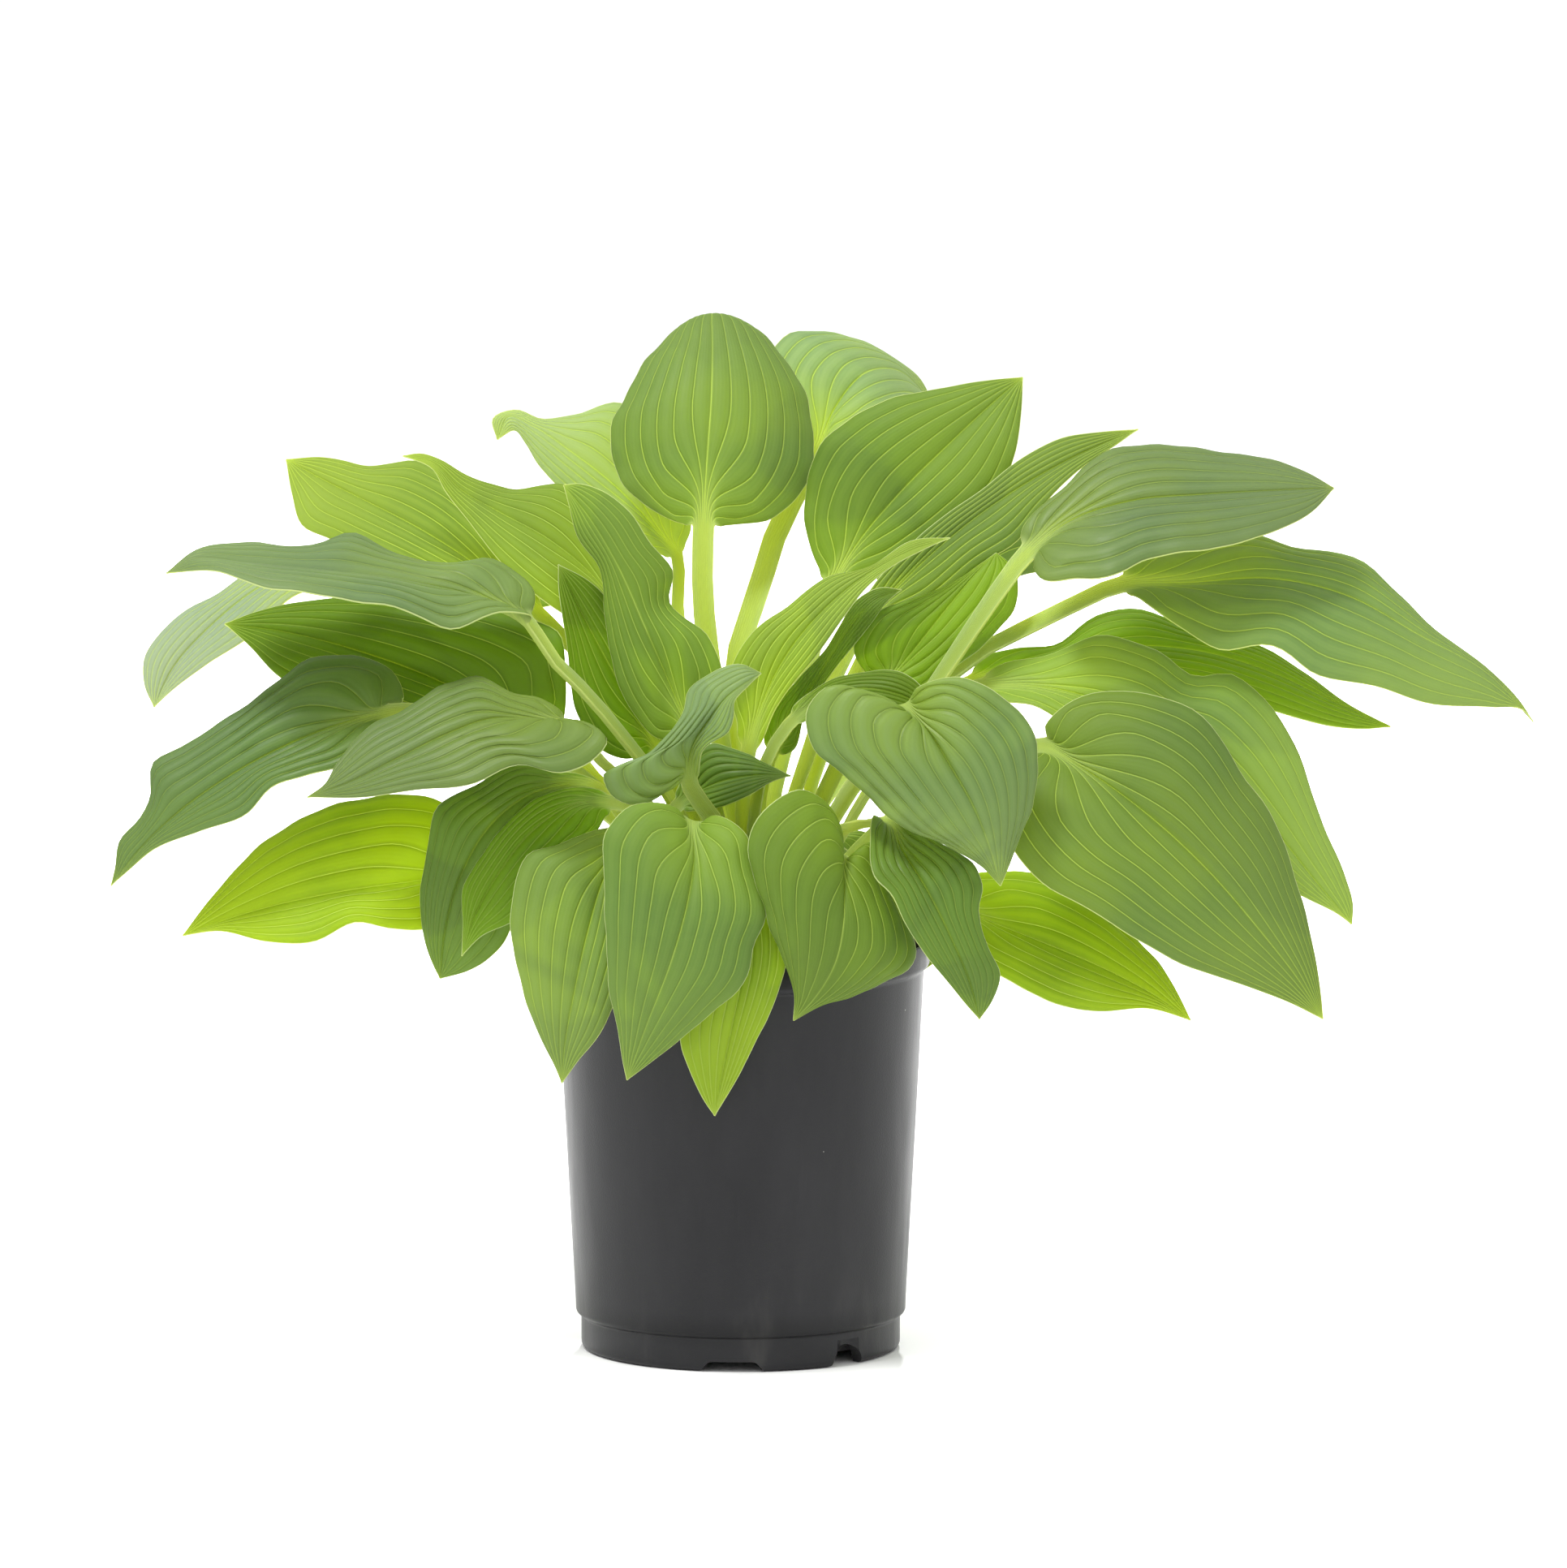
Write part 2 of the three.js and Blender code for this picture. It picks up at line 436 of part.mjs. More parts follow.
    left: [[-26, 250, 2], [-14, 265.5, 2], [0, 262.5, 2], [12, 256.5, 1]],
    right: [[-20, 236, -1], [-8, 238, -1], [4, 243, -1], [14, 249, 0]],
  },
  {
    name: "leaf_38", tone: "deep", root: [10, 180], petiole: 2.4, lean: 0.3,
    stem: [],
    rib: [[-36, 263, -14], [-47, 282, -13], [-59, 304, -12], [-70, 325, -10], [-79, 344, -8]],
    left: [[-51, 259, 2], [-62, 264, 4], [-70, 276, 5], [-74, 291, 4], [-75, 306, 2],
      [-77.5, 322, -2], [-79, 335, -1]],
    right: [[-32, 276, 1], [-40, 298, 1], [-51, 320, 1], [-66, 337, 1]],
  },
  {
    name: "leaf_39", tone: "mid", root: [28, 66], petiole: 3,
    stem: [],
    rib: [[38, 222, 66], [54, 227, 94], [66, 216, 122], [74, 192, 142], [78, 164, 150]],
    left: [[28, 222, 10], [38, 222, 16], [42, 204, 18], [54, 180, 12]],
    right: [[56, 214, -10], [80, 216, -16], [96, 200, -16], [94, 178, -8]],
  },
  {
    name: "leaf_40", tone: "mid", root: [28, 84], petiole: 3,
    stem: [],
    rib: [[52, 260, 70], [63, 270, 98], [73, 265, 126], [81, 247, 148], [85, 224, 160]],
    left: [[46, 263, 8], [44, 269, 12], [52, 258, 14], [68, 240, 8]],
    right: [[66, 256, -8], [90, 264, -12], [103, 256, -14], [100, 238, -8]],
  },
  {
    name: "leaf_41", tone: "mid", root: [28, 48], petiole: 3,
    stem: [],
    rib: [[92, 250, 48], [118, 260, 70], [142, 260, 92], [162, 245, 110], [172, 222, 120]],
    left: [[88, 257, 12], [98, 267, 18], [122, 267, 20], [148, 252, 14]],
    right: [[106, 242, -12], [136, 245, -20], [162, 239, -22], [172, 230, -12]],
  },
  {
    name: "leaf_42", tone: "mid", root: [28, 30], petiole: 3,
    stem: [],
    rib: [[78, 199, 34], [106, 193, 50], [134, 183, 66], [158, 168, 78], [174, 150, 84]],
    left: [[80, 205, 10], [95, 205, 16], [122, 203, 20], [150, 190, 16], [168, 166, 8]],
    right: [[86, 188, -8], [110, 175, -16], [138, 163, -20], [160, 154, -12]],
  },
  {
    name: "leaf_43", tone: "mid", root: [19, 120], petiole: 3,
    stem: [],
    rib: [[-70, 328, 68], [-92, 350, 92], [-114, 361, 118], [-134, 358, 142],
      [-148, 341, 158]],
    left: [[-90, 325, -12], [-121, 338, -20], [-145, 347, -20], [-156, 342, -10]],
    right: [[-58, 337, 10], [-66, 359, 16], [-89, 368, 18], [-116, 366, 14], [-138, 351, 6]],
  },
  {
    name: "leaf_44", tone: "mid", root: [19, 50], petiole: 3,
    stem: [],
    rib: [[70, 328, 56], [92, 352, 82], [114, 367, 108], [138, 364, 134], [158, 345, 152]],
    left: [[58, 339, 10], [66, 361, 16], [88, 377, 18], [116, 378, 14], [140, 362, 6]],
    right: [[92, 325, -12], [122, 339, -20], [148, 343, -14]],
  },
];

const TONES = {
  mid: "#6f9a3c", grey: "#7d9c69", pale: "#b9cf72", bright: "#a3bf33", deep: "#4f8414",
  light: "#86a845", dark: "#4b7433",
};
const POT_COLOUR = "#3b3b3d";
const SOIL_COLOUR = "#3d2c1f";

function leafMaterial(tone) {
  return new THREE.MeshStandardMaterial({ color: TONES[tone], roughness: 0.45, metalness: 0 });
}

// Closed THREE geometry to solid and back
function toSolid(geometry) {
  const plain = geometry.clone();
  plain.deleteAttribute("normal");
  plain.deleteAttribute("uv");
  const merged = mergeVertices(plain, 1e-4);
  const mesh = new wasm.Mesh({
    numProp: 3,
    vertProperties: new Float32Array(merged.attributes.position.array),
    triVerts: new Uint32Array(merged.index.array),
  });
  return new wasm.Manifold(mesh);
}

function toGeometry(solid) {
  const mesh = solid.getMesh();
  const geometry = new THREE.BufferGeometry();
  geometry.setAttribute("position", new THREE.BufferAttribute(mesh.vertProperties, 3));
  geometry.setIndex(new THREE.BufferAttribute(mesh.triVerts, 1));
  geometry.computeVertexNormals();
  return geometry;
}

// Closed profile of [radius, z] points turned about the Z axis
function lathe(profile, sides) {
  const points = profile.map(([r, z]) => new THREE.Vector2(r, z));
  const geometry = new THREE.LatheGeometry(points, sides);
  geometry.rotateX(Math.PI / 2);
  return geometry;
}

function polar(radius, degrees) {
  const a = THREE.MathUtils.degToRad(degrees);
  return [radius * Math.cos(a), radius * Math.sin(a)];
}

// Pot

function potOutside() {
  return [
    [FOOT_RING.inner, 0],
    [FOOT_RING.base, 0],
    [FOOT_RING.outer, FOOT_RING.bevel],
    [FOOT_RING.outer, FOOT_RING.z],
    [BODY_CORNER.radius, BODY_CORNER.z],
    [BODY_FOOT.radius, BODY_FOOT.z],
    [BODY_MIDDLE.radius, BODY_MIDDLE.z],
    [BODY_TOP_RADIUS, RIM_CREASE],
    [RIM_RADIUS, RIM_CREASE + CREASE_RISE.outside],
    [RIM_RADIUS, POT_HEIGHT - RIM_ROUND],
    [RIM_RADIUS - RIM_ROUND, POT_HEIGHT],
  ];
}

function potInside() {
  return [
    [RIM_RADIUS - WALL, POT_HEIGHT],
    [RIM_RADIUS - WALL, RIM_CREASE + CREASE_RISE.inside],
    [BODY_TOP_RADIUS - WALL, RIM_CREASE + CREASE_RISE.wall],
    [BODY_MIDDLE.radius - WALL, BODY_MIDDLE.z],
    [BODY_FOOT.radius - WALL, BODY_FOOT.z],
    [FOOT_STEP.radius, FOOT_STEP.z],
    [FOOT_STEP.radius, FOOT_RING.floor + FLOOR],
  ];
}

// Prism through the foot wall, of an outline in width and height, at an azimuth
function footCutter(outline, azimuth) {
  const shape = new THREE.Shape(outline.map(([w, z]) => new THREE.Vector2(w, z)));
  const depth = FOOT_RING.outer - FOOT_RING.inner + 2 * CUT_MARGIN;
  const geometry = new THREE.ExtrudeGeometry(shape, { depth, bevelEnabled: false, steps: 1 });
  geometry.rotateX(Math.PI / 2);
  geometry.translate(0, FOOT_RING.outer + CUT_MARGIN, 0);
  geometry.rotateZ(THREE.MathUtils.degToRad(azimuth - 90));
  return toSolid(geometry);
}

// Upright round hollow in the outer face of the foot ring, with the arch at its back
function nicheCutter(azimuth) {
  const { radius, centre, height, sides } = DRAIN_NICHE;
  const outline = [[0, -CUT_MARGIN], [radius, -CUT_MARGIN], [radius, height], [0, height]];
  const geometry = lathe([...outline, outline[0]], sides);
  const [x, y] = polar(centre, azimuth);
  geometry.translate(x, y, 0);
  return toSolid(geometry);
}

function potGeometry() {
  const underside = [
    [0, 0],
    [CENTRE_FOOT.radius, 0],
    [CENTRE_FOOT.radius + CENTRE_FOOT.chamfer, FOOT_RING.floor],
    [FOOT_RING.inner, FOOT_RING.floor],
  ];
  const profile = [
    [0, FOOT_RING.floor + FLOOR], ...underside, ...potOutside(), ...potInside(),
    [0, FOOT_RING.floor + FLOOR],
  ];
  let pot = toSolid(lathe(profile, POT_SIDES));
  const { topWidth, baseWidth, height } = FOOT_NOTCH;
  const notch = [[-baseWidth / 2, -CUT_MARGIN], [baseWidth / 2, -CUT_MARGIN],
    [topWidth / 2, height], [-topWidth / 2, height]];
  const arch = [[DRAIN_ARCH.width / 2, -CUT_MARGIN], [DRAIN_ARCH.width / 2, 0]];
  for (let i = 1; i < DRAIN_ARCH.steps; i += 1) {
    const a = Math.PI * i / DRAIN_ARCH.steps;
    arch.push([DRAIN_ARCH.width / 2 * Math.cos(a), DRAIN_ARCH.height * Math.sin(a)]);
  }
  arch.push([-DRAIN_ARCH.width / 2, 0], [-DRAIN_ARCH.width / 2, -CUT_MARGIN]);
  for (const azimuth of FOOT_NOTCH.azimuths) {
    pot = pot.subtract(footCutter(notch, azimuth));
  }
  for (const azimuth of DRAIN_ARCH.azimuths) {
    pot = pot.subtract(footCutter(arch, azimuth)).subtract(nicheCutter(azimuth));
  }
  return toGeometry(pot);
}

// Compost

function rootPlace(leaf) {
  const [dx, dy] = polar(leaf.root[0], leaf.root[1]);
  return [CROWN.x + dx, CROWN.y + dy];
}

function soilGeometry() {
  const edge = SOIL_LEVEL - SOIL_DOME;
  const topRadius = BODY_MIDDLE.radius - WALL - FIT_GAP
    + (BODY_TOP_RADIUS - BODY_MIDDLE.radius) * (edge - BODY_MIDDLE.z)
    / (RIM_CREASE + CREASE_RISE.wall - BODY_MIDDLE.z);
  const base = FOOT_RING.floor + FLOOR + FIT_GAP;
  let soil = toSolid(lathe([
    [0, base],
    [FOOT_STEP.radius - FIT_GAP, base],
    [FOOT_STEP.radius - FIT_GAP, FOOT_STEP.z],
    [BODY_FOOT.radius - WALL - FIT_GAP, BODY_FOOT.z],
    [BODY_MIDDLE.radius - WALL - FIT_GAP, BODY_MIDDLE.z],
    [topRadius, edge],
    [topRadius * SOIL_SHOULDER.part, SOIL_LEVEL - SOIL_SHOULDER.drop],
    [SOIL_FLAT, SOIL_LEVEL],
    [0, SOIL_LEVEL],
  ], SOIL_SIDES));
  for (const leaf of LEAVES) {
    const hole = new THREE.CylinderGeometry(HOLE.radius, HOLE.radius, HOLE.depth, HOLE.sides);
    hole.rotateX(Math.PI / 2);
    const [x, y] = rootPlace(leaf);
    hole.translate(x, y, HOLE.floor + HOLE.depth / 2);
    soil = soil.subtract(toSolid(hole));
  }
  return toGeometry(soil);
}

// Leaves

function sight([across, up, depth]) {
  const grown = 1 + PICTURE.taper * (up - PICTURE.up);
  const seen = new THREE.Vector3(
    PICTURE.across + (across - PICTURE.across) * grown,
    0,
    PICTURE.up + (up - PICTURE.up) * grown * PICTURE.stretch,
  );
  const reach = (depth - VIEW_POINT.y) / -VIEW_POINT.y;
  return seen.sub(VIEW_POINT).multiplyScalar(reach).add(VIEW_POINT);
}

// The picture's coordinates of a point in space
function unsight(x, y, z) {
  const reach = -VIEW_POINT.y / (y - VIEW_POINT.y);
  const across = VIEW_POINT.x + (x - VIEW_POINT.x) * reach;
  const up = VIEW_POINT.z + (z - VIEW_POINT.z) * reach;
  const { taper } = PICTURE;
  const rise = (up - PICTURE.up) / PICTURE.stretch;
  const height = (Math.sqrt(1 + 4 * taper * rise) - 1) / (2 * taper);
  return [
    PICTURE.across + (across - PICTURE.across) / (1 + taper * height),
    PICTURE.up + height,
    y,
  ];
}

// Smooth curve through points, with the distance along its chords as parameter
function curveThrough(points) {
  const knots = [0];
  for (let i = 1; i < points.length; i += 1) {
    const chord = Math.hypot(...points[i].map((v, k) => v - points[i - 1][k]));
    knots.push(knots[i - 1] + chord);
  }
  const last = points.length - 1;
  const slope = (i, k) => (points[i + 1][k] - points[i][k]) / (knots[i + 1] - knots[i]);
  const tangents = points.map((p, i) => p.map((_, k) => {
    if (i === 0) return slope(0, k);
    if (i === last) return slope(last - 1, k);
    const before = knots[i] - knots[i - 1];
    const after = knots[i + 1] - knots[i];
    return (slope(i - 1, k) * after + slope(i, k) * before) / (before + after);
  }));
  const at = (distance) => {
    let i = 0;
    while (i < last - 1 && distance > knots[i + 1]) i += 1;
    const h = knots[i + 1] - knots[i];
    const u = (distance - knots[i]) / h;
    const a = (1 + 2 * u) * (1 - u) * (1 - u);
    const b = u * (1 - u) * (1 - u);
    const c = u * u * (3 - 2 * u);
    const d = u * u * (u - 1);
    return points[i].map((p, k) => a * p + b * h * tangents[i][k] + c * points[i + 1][k]
      + d * h * tangents[i + 1][k]);
  };
  return { at, knots, length: knots[last] };
}

function smooth(x) {
  const u = Math.min(Math.max(x, 0), 1);
  return u * u * (3 - 2 * u);
}

function squareTo(vector, axis) {
  return vector.clone().addScaledVector(axis, -vector.dot(axis)).normalize();
}

// The leaf as a surface: place(along, across) with along from 0 at the foot of the petiole over
// 1 at the base of the blade to 2 at its tip, and across from -1 at the left margin to 1
function leafSurface(leaf) {
  const [x, y] = rootPlace(leaf);
  const foot = [HOLE.floor + FIT_GAP, SOIL_LEVEL + ROOT_RISE].map((z) => unsight(x, y, z));
  const spine = curveThrough([...foot, ...leaf.stem, ...leaf.rib]);
  const baseAt = spine.knots[foot.length + leaf.stem.length];
  const tip = leaf.rib[leaf.rib.length - 1];
  const margins = [leaf.left, leaf.right].map((points) => curveThrough([
    [leaf.rib[0][0], leaf.rib[0][1], 0],
    ...points,
    [tip[0], tip[1], 0],
  ]));
  const distance = (along) => (along < 1
    ? baseAt * along
    : baseAt + (spine.length - baseAt) * (along - 1));
  const ribPoint = (along) => sight(spine.at(distance(along)));
  const forward = (along) => {
    const ahead = ribPoint(Math.min(along + SMALL_STEP, 2));
    return ahead.sub(ribPoint(Math.max(along - SMALL_STEP, 0))).normalize();
  };
  const marginPoint = (side, t) => {
    const [px, pz, dy] = margins[side].at(margins[side].length * t);
    const [, ribUp, ribDepth] = spine.at(distance(1 + t));
    return sight([px, pz, ribDepth + dy + (leaf.lean ?? 0) * (pz - ribUp)]);
  };
  const [dx, dy] = polar(1, leaf.root[1]);
  const bladeSide = (t) => {
    const inner = Math.min(Math.max(t, WIDE_BLADE.from), WIDE_BLADE.to);
    return marginPoint(1, inner).sub(marginPoint(0, inner)).normalize();
  };
  // The petiole starts square to its own direction from the crown and doesn't turn right over
  const footSide = new THREE.Vector3(dy, -dx, 0);
  if (footSide.dot(bladeSide(0)) < 0) footSide.negate();
  const sideways = (along) => {
    if (along >= 1) return squareTo(bladeSide(along - 1), forward(along));
    return squareTo(footSide.clone().lerp(bladeSide(0), smooth(along)), forward(along));
  };
  const stemHalf = (along) => {
    if (along >= 1) return leaf.petiole * (1 - smooth((along - 1) / RIB_END)) + TIP_HALF_WIDTH;
    const grown = smooth((along - ROUND_TO) / (WIDE_FROM - ROUND_TO));
    return ROOT_RADIUS + (leaf.petiole + TIP_HALF_WIDTH - ROOT_RADIUS) * grown;
  };
  const upward = (along) => sideways(along).cross(forward(along));
  const place = (along, across) => {
    const rib = ribPoint(along);
    const side = sideways(along);
    const up = upward(along);
    const half = stemHalf(along);
    const grown = smooth((along - ROUND_TO) / (CHANNEL_FROM - ROUND_TO));
    const channel = grown * (along < 1 ? 1 : 1 - smooth((along - 1) / CHANNEL_END));
    // The blade grows from the edges of the petiole
    const edgeward = smooth((along - 1) / ALONG_BLADE[1]) * (1 - smooth((along - 1) / RIB_END));
    const offset = across + (Math.sign(across) - across) * edgeward;
    const point = rib.clone().addScaledVector(side, half * offset);
    const round = (1 - grown) * ROOT_BULGE * (1 - across * across);
    point.addScaledVector(up, round + channel * (CHANNEL_LIFT + CHANNEL_DEPTH * across * across));
    if (along > 1) {
      const margin = marginPoint(across < 0 ? 0 : 1, along - 1);
      const reach = margin.sub(rib);
      const ahead = forward(along);
      const face = across < 0 ? ahead.cross(reach) : reach.clone().cross(ahead);
      const s = Math.abs(across);
      const rise = CAMBER * reach.length() * 4 * s * (1 - s);
      point.addScaledVector(reach, s).addScaledVector(face.normalize(), rise);
    }
    return point;
  };
  // Depth of the solid below the middle surface: round under the petiole, a keel under the rib
  const depth = (along, across) => {
    const round = 1 - across * across;
    const fade = along < 1 ? 1 : 1 - smooth((along - 1) / KEEL_END);
    return BLADE_THICKNESS / 2 + PETIOLE_DEPTH * fade * (along < 1 ? round : round ** 4);
  };
  return { place, depth, upward };
}

// Rings of points, the upper face left to right and then the lower face back, joined to a tube
function leafGeometry(leaf) {
  const { place, depth, upward } = leafSurface(leaf);
  const rows = [...ALONG_PETIOLE, ...ALONG_BLADE.map((t) => 1 + t)];
  const grid = rows.map((along) => ACROSS.map((across) => place(along, across)));
  const count = ACROSS.length;
  const clampRow = (i) => grid[Math.min(Math.max(i, 0), rows.length - 1)];
  const rings = grid.map((row, i) => {
    const upper = [];
    const lower = [];
    const up = upward(rows[i]);
    const flat = smooth((rows[i] - 1) / BASE_LENGTH);
    row.forEach((point, j) => {
      const along = clampRow(i + 1)[j].clone().sub(clampRow(i - 1)[j]);
      const across = row[Math.min(j + 1, count - 1)].clone().sub(row[Math.max(j - 1, 0)]);
      const normal = up.clone().lerp(across.cross(along).normalize(), flat).normalize();
      upper.push(point.clone().addScaledVector(normal, BLADE_THICKNESS / 2));
      lower.push(point.clone().addScaledVector(normal, -depth(rows[i], ACROSS[j])));
    });
    return [...upper, ...lower.reverse()];
  });
  const size = 2 * count;
  const positions = rings.flat().flatMap((p) => [p.x, p.y, p.z]);
  const index = [];
  for (let i = 0; i + 1 < rings.length; i += 1) {
    for (let j = 0; j < size; j += 1) {
      const a = i * size + j;
      const b = i * size + (j + 1) % size;
      const c = a + size;
      const d = b + size;
      // The lower face runs backwards, so its diagonal is turned to lie under the upper one
      if (j < count) index.push(a, b, c, b, d, c);
      else index.push(a, b, d, a, d, c);
    }
  }
  const end = (rings.length - 1) * size;
  for (let j = 0; j + 1 < count; j += 1) {
    const k = size - 1 - j;
    index.push(j, k - 1, j + 1, j, k, k - 1);
    index.push(end + j, end + j + 1, end + k - 1, end + j, end + k - 1, end + k);
  }
  const geometry = new THREE.BufferGeometry();
  geometry.setAttribute("position", new THREE.Float32BufferAttribute(positions, 3));
  geometry.setIndex(index);
  geometry.computeVertexNormals();
  return geometry;
}

function part(name, geometry, material) {
  const mesh = new THREE.Mesh(geometry, material);
  mesh.name = name;
  return mesh;
}

const group = new THREE.Group();
group.add(part("pot", potGeometry(),
  new THREE.MeshStandardMaterial({ color: POT_COLOUR, roughness: 0.5, metalness: 0 })));
group.add(part("soil", soilGeometry(),
  new THREE.MeshStandardMaterial({ color: SOIL_COLOUR, roughness: 0.95, metalness: 0 })));
for (const leaf of LEAVES) {
  group.add(part(leaf.name, leafGeometry(leaf), leafMaterial(leaf.tone)));
}

export default group;
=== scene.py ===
import math

import bpy
import numpy as np
from mathutils import Matrix, Vector


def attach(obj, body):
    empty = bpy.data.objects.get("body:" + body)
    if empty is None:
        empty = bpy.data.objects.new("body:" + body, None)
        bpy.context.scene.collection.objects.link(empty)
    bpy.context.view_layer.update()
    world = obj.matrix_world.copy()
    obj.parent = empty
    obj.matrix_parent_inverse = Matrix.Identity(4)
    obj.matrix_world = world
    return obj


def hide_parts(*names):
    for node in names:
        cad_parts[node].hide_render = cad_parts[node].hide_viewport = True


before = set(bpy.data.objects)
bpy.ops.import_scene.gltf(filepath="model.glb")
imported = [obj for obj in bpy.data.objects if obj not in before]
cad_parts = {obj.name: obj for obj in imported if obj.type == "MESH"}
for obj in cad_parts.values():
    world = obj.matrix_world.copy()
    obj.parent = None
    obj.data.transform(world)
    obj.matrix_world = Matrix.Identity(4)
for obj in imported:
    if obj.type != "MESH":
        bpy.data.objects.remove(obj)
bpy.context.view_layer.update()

# Potted hosta. The plant and its pot are laid out in millimetres, +Z up, +X right and -Y front,
# and turned into metres when a mesh is made.
MM = 0.001

# Pot
POT_HEIGHT = 180
RIM_RADIUS = 82.4
RIM_CREASE = POT_HEIGHT - 13
RIM_STEP = 2.2
INNER_DROP = 0.6
BODY_TOP_RADIUS = 80
BODY_MIDDLE = (77.2, 113)
BODY_FOOT = (72, 19)
SHOULDER = 1.6
FOOT_OUTER = 69.6
FOOT_TOP = 14.4
FOOT_INNER = 63.4
FOOT_FLOOR = 5
FOOT_STEP = (65, 12.8)
CENTRE_FOOT = 17
WALL = 1.6
FLOOR = 2
POT_SIDES = 240
NOTCH = dict(azimuths=[-93, 27, 147], top=21, base=30, height=4.4, rounding=2.2)
ARCH = dict(azimuths=[-47.5, 72.5], width=17, height=9, steps=16)
NICHE = dict(radius=10, taper=0.6, centre=76.4, height=11.6, sides=64)
CUT_MARGIN = 1.5
EDGE = dict(width=0.7, segments=3, angle=50)
MOST_OF_SIDE = 0.48

# Compost
SOIL_LEVEL = 160
SOIL_RADIUS = 77.4
SOIL_DOME = 3
SOIL_RINGS = 40
SOIL_SIDES = 160
SOIL_SINK = 1.2
WAVES = dict(count=26, shortest=7, longest=40, height=0.012)
FIT_GAP = 0.3

# Bark chips on it. reach, thick and rough are parts of a chip's size. Its three layers of corners
# are given by their height in it and their breadth.
CHIPS = 900
CHIP = dict(size=(1.6, 5.5), wall_gap=5, root_gap=2.5, corners=7, uneven=0.3, reach=(0.6, 1),
            slim=(0.35, 0.8), thick=(0.12, 0.3), rough=0.06, turn=6.28, tilt=0.28)
CHIP_LAYERS = ((-1, 0.85), (0.3, 1), (1, 0.72))

# Crown: the petioles rise from rings about this centre
CROWN = (6, -2)
ROOT_BOTTOM = 145.3
ROOT_TOP = 166

# Leaf section
BLADE_THICKNESS = 0.5
CAMBER = 0.1
ROOT_RADIUS = 2.2
ROOT_BULGE = 1.5
PETIOLE_DEPTH = 2.6
CHANNEL_LIFT = 0.7
CHANNEL_DEPTH = 0.9
TIP_HALF_WIDTH = 0.25
SIDE_RIM = 0.5

# Where the section changes along the leaf: 0 is the foot of the petiole, 1 the base of the blade
# and 2 its tip
ROUND_TO = 0.1
CHANNEL_FROM = 0.4
WIDE_FROM = 0.7
UPRIGHT_TO = 1.1
RELIEF_FROM = 1.15
CHANNEL_END = 1.25
RIB_END = 1.45
KEEL_END = 1.7
THIN_RIB = (1.3, 1.9)
GROOVE_END = (1.2, 1.6)
RIPPLES_START = (1.05, 1.25)
RIPPLES_END = (1.75, 1.95)
SMALL_STEP = 0.004

# Parts of the blade between which it is wide enough to tell its direction
WIDE_BLADE = (0.15, 0.9)

# Rows of the mesh. Those of the blade stand closer at its ends.
PETIOLE_ROWS = 14
LAST_PETIOLE_ROW = 0.97
BLADE_ROWS = 52
BLADE_REACH = 0.9995
ROW_CROWDING = 0.45

# Veins: they run side by side up the petiole and leave the midrib one after the other. The blade
# puckers up between them.
COLUMNS_PER_VEIN = 5
VEIN_SPACING = 7.0
FEWEST_VEINS = 5
MOST_VEINS = 8
HUG_END = 0.55
HUG_SHORTEST = 0.03
HUG_LEAST = 0.02
PUCKER = 0.055
PUCKER_MOST = 0.4
PUCKER_FADE = (1.3, 0.7)
PUCKER_SHARPNESS = 0.8
PUCKER_SINK = 0.7
MIDRIB_GROOVE = 0.35
GROOVE_REACH = 2.5

# Ripples of the margin: how many run along the blade and how high they are
RUFFLE = 0.72
RIPPLES = ((4.3, 1.0), (9.1, 0.5))
RIPPLE_TURN = 0.37
RIPPLE_SHIFT = 1.1
RUFFLED_WIDTH = 40

# The maps of a leaf hold numbers of veins and distances in parts of this
MAP_SPAN = 20

# Tones of the leaves, partly their own colours and partly painted light: the dark and deep tones
# paint the shade on leaves that lie under others, the bright, light and pale ones the light that
# shines through leaves from behind, and the grey one partly a sheen. vein says how strongly the
# veins show, the painted fold shading how much painted shade darkens the grooves along them and
# painted light lightens the ridges between, pucker how high those stand, rough and shine the gloss.
TONES = {
    "mid": dict(colour="#688535", vein=0.6, painted_fold_shading=0.36, pucker=1.4, rough=0.54, shine=0.3),
    "grey": dict(colour="#6e8850", vein=0.32, painted_fold_shading=0.55, pucker=2.4, rough=0.44, shine=0.42),
    "pale": dict(colour="#8fa97a", vein=0.6, painted_fold_shading=0.3, pucker=1.2, rough=0.56, shine=0.3),
    "bright": dict(colour="#85a239", vein=0.8, painted_fold_shading=0.6, pucker=1.5, rough=0.56, shine=0.3),
    "deep": dict(colour="#64880f", vein=0.5, painted_fold_shading=0.55, pucker=2.2, rough=0.5, shine=0.35),
    "light": dict(colour="#7b984d", vein=0.6, painted_fold_shading=0.38, pucker=1.4, rough=0.54, shine=0.3),
    "dark": dict(colour="#5e7d34", vein=0.26, painted_fold_shading=0.65, pucker=2.4, rough=0.42, shine=0.4),
}
PLAIN_LOOK = [1, 1]
VEIN_TONE = "#bcd666"
EDGE_TONE = "#c8d8a0"
PETIOLE_TONE = "#acc27a"
UNDERSIDE = dict(colour="#b4c48a", cover=0.22, rough=0.62, shine=0.2)
# Light that passes through a blade takes its tone, strengthened by the gain
GLOW_GAIN = (2.08, 1.7, 0.55, 1)
GLOW_PART = 0.42

# Stage: a square of floor, a white sky and lamps in metres and watts, aimed at a target
STAGE_HALF = 5200
STAGE_LEVEL = -0.2
SKY_STRENGTH = 1.06
TARGET = (0, 0, 0.22)
KEY_LAMP = dict(place=(-0.6, -0.7, 2.1), size=0.5, power=36)
BACK_LAMP = dict(place=(0.15, 2.4, 1.2), size=0.15, power=80)

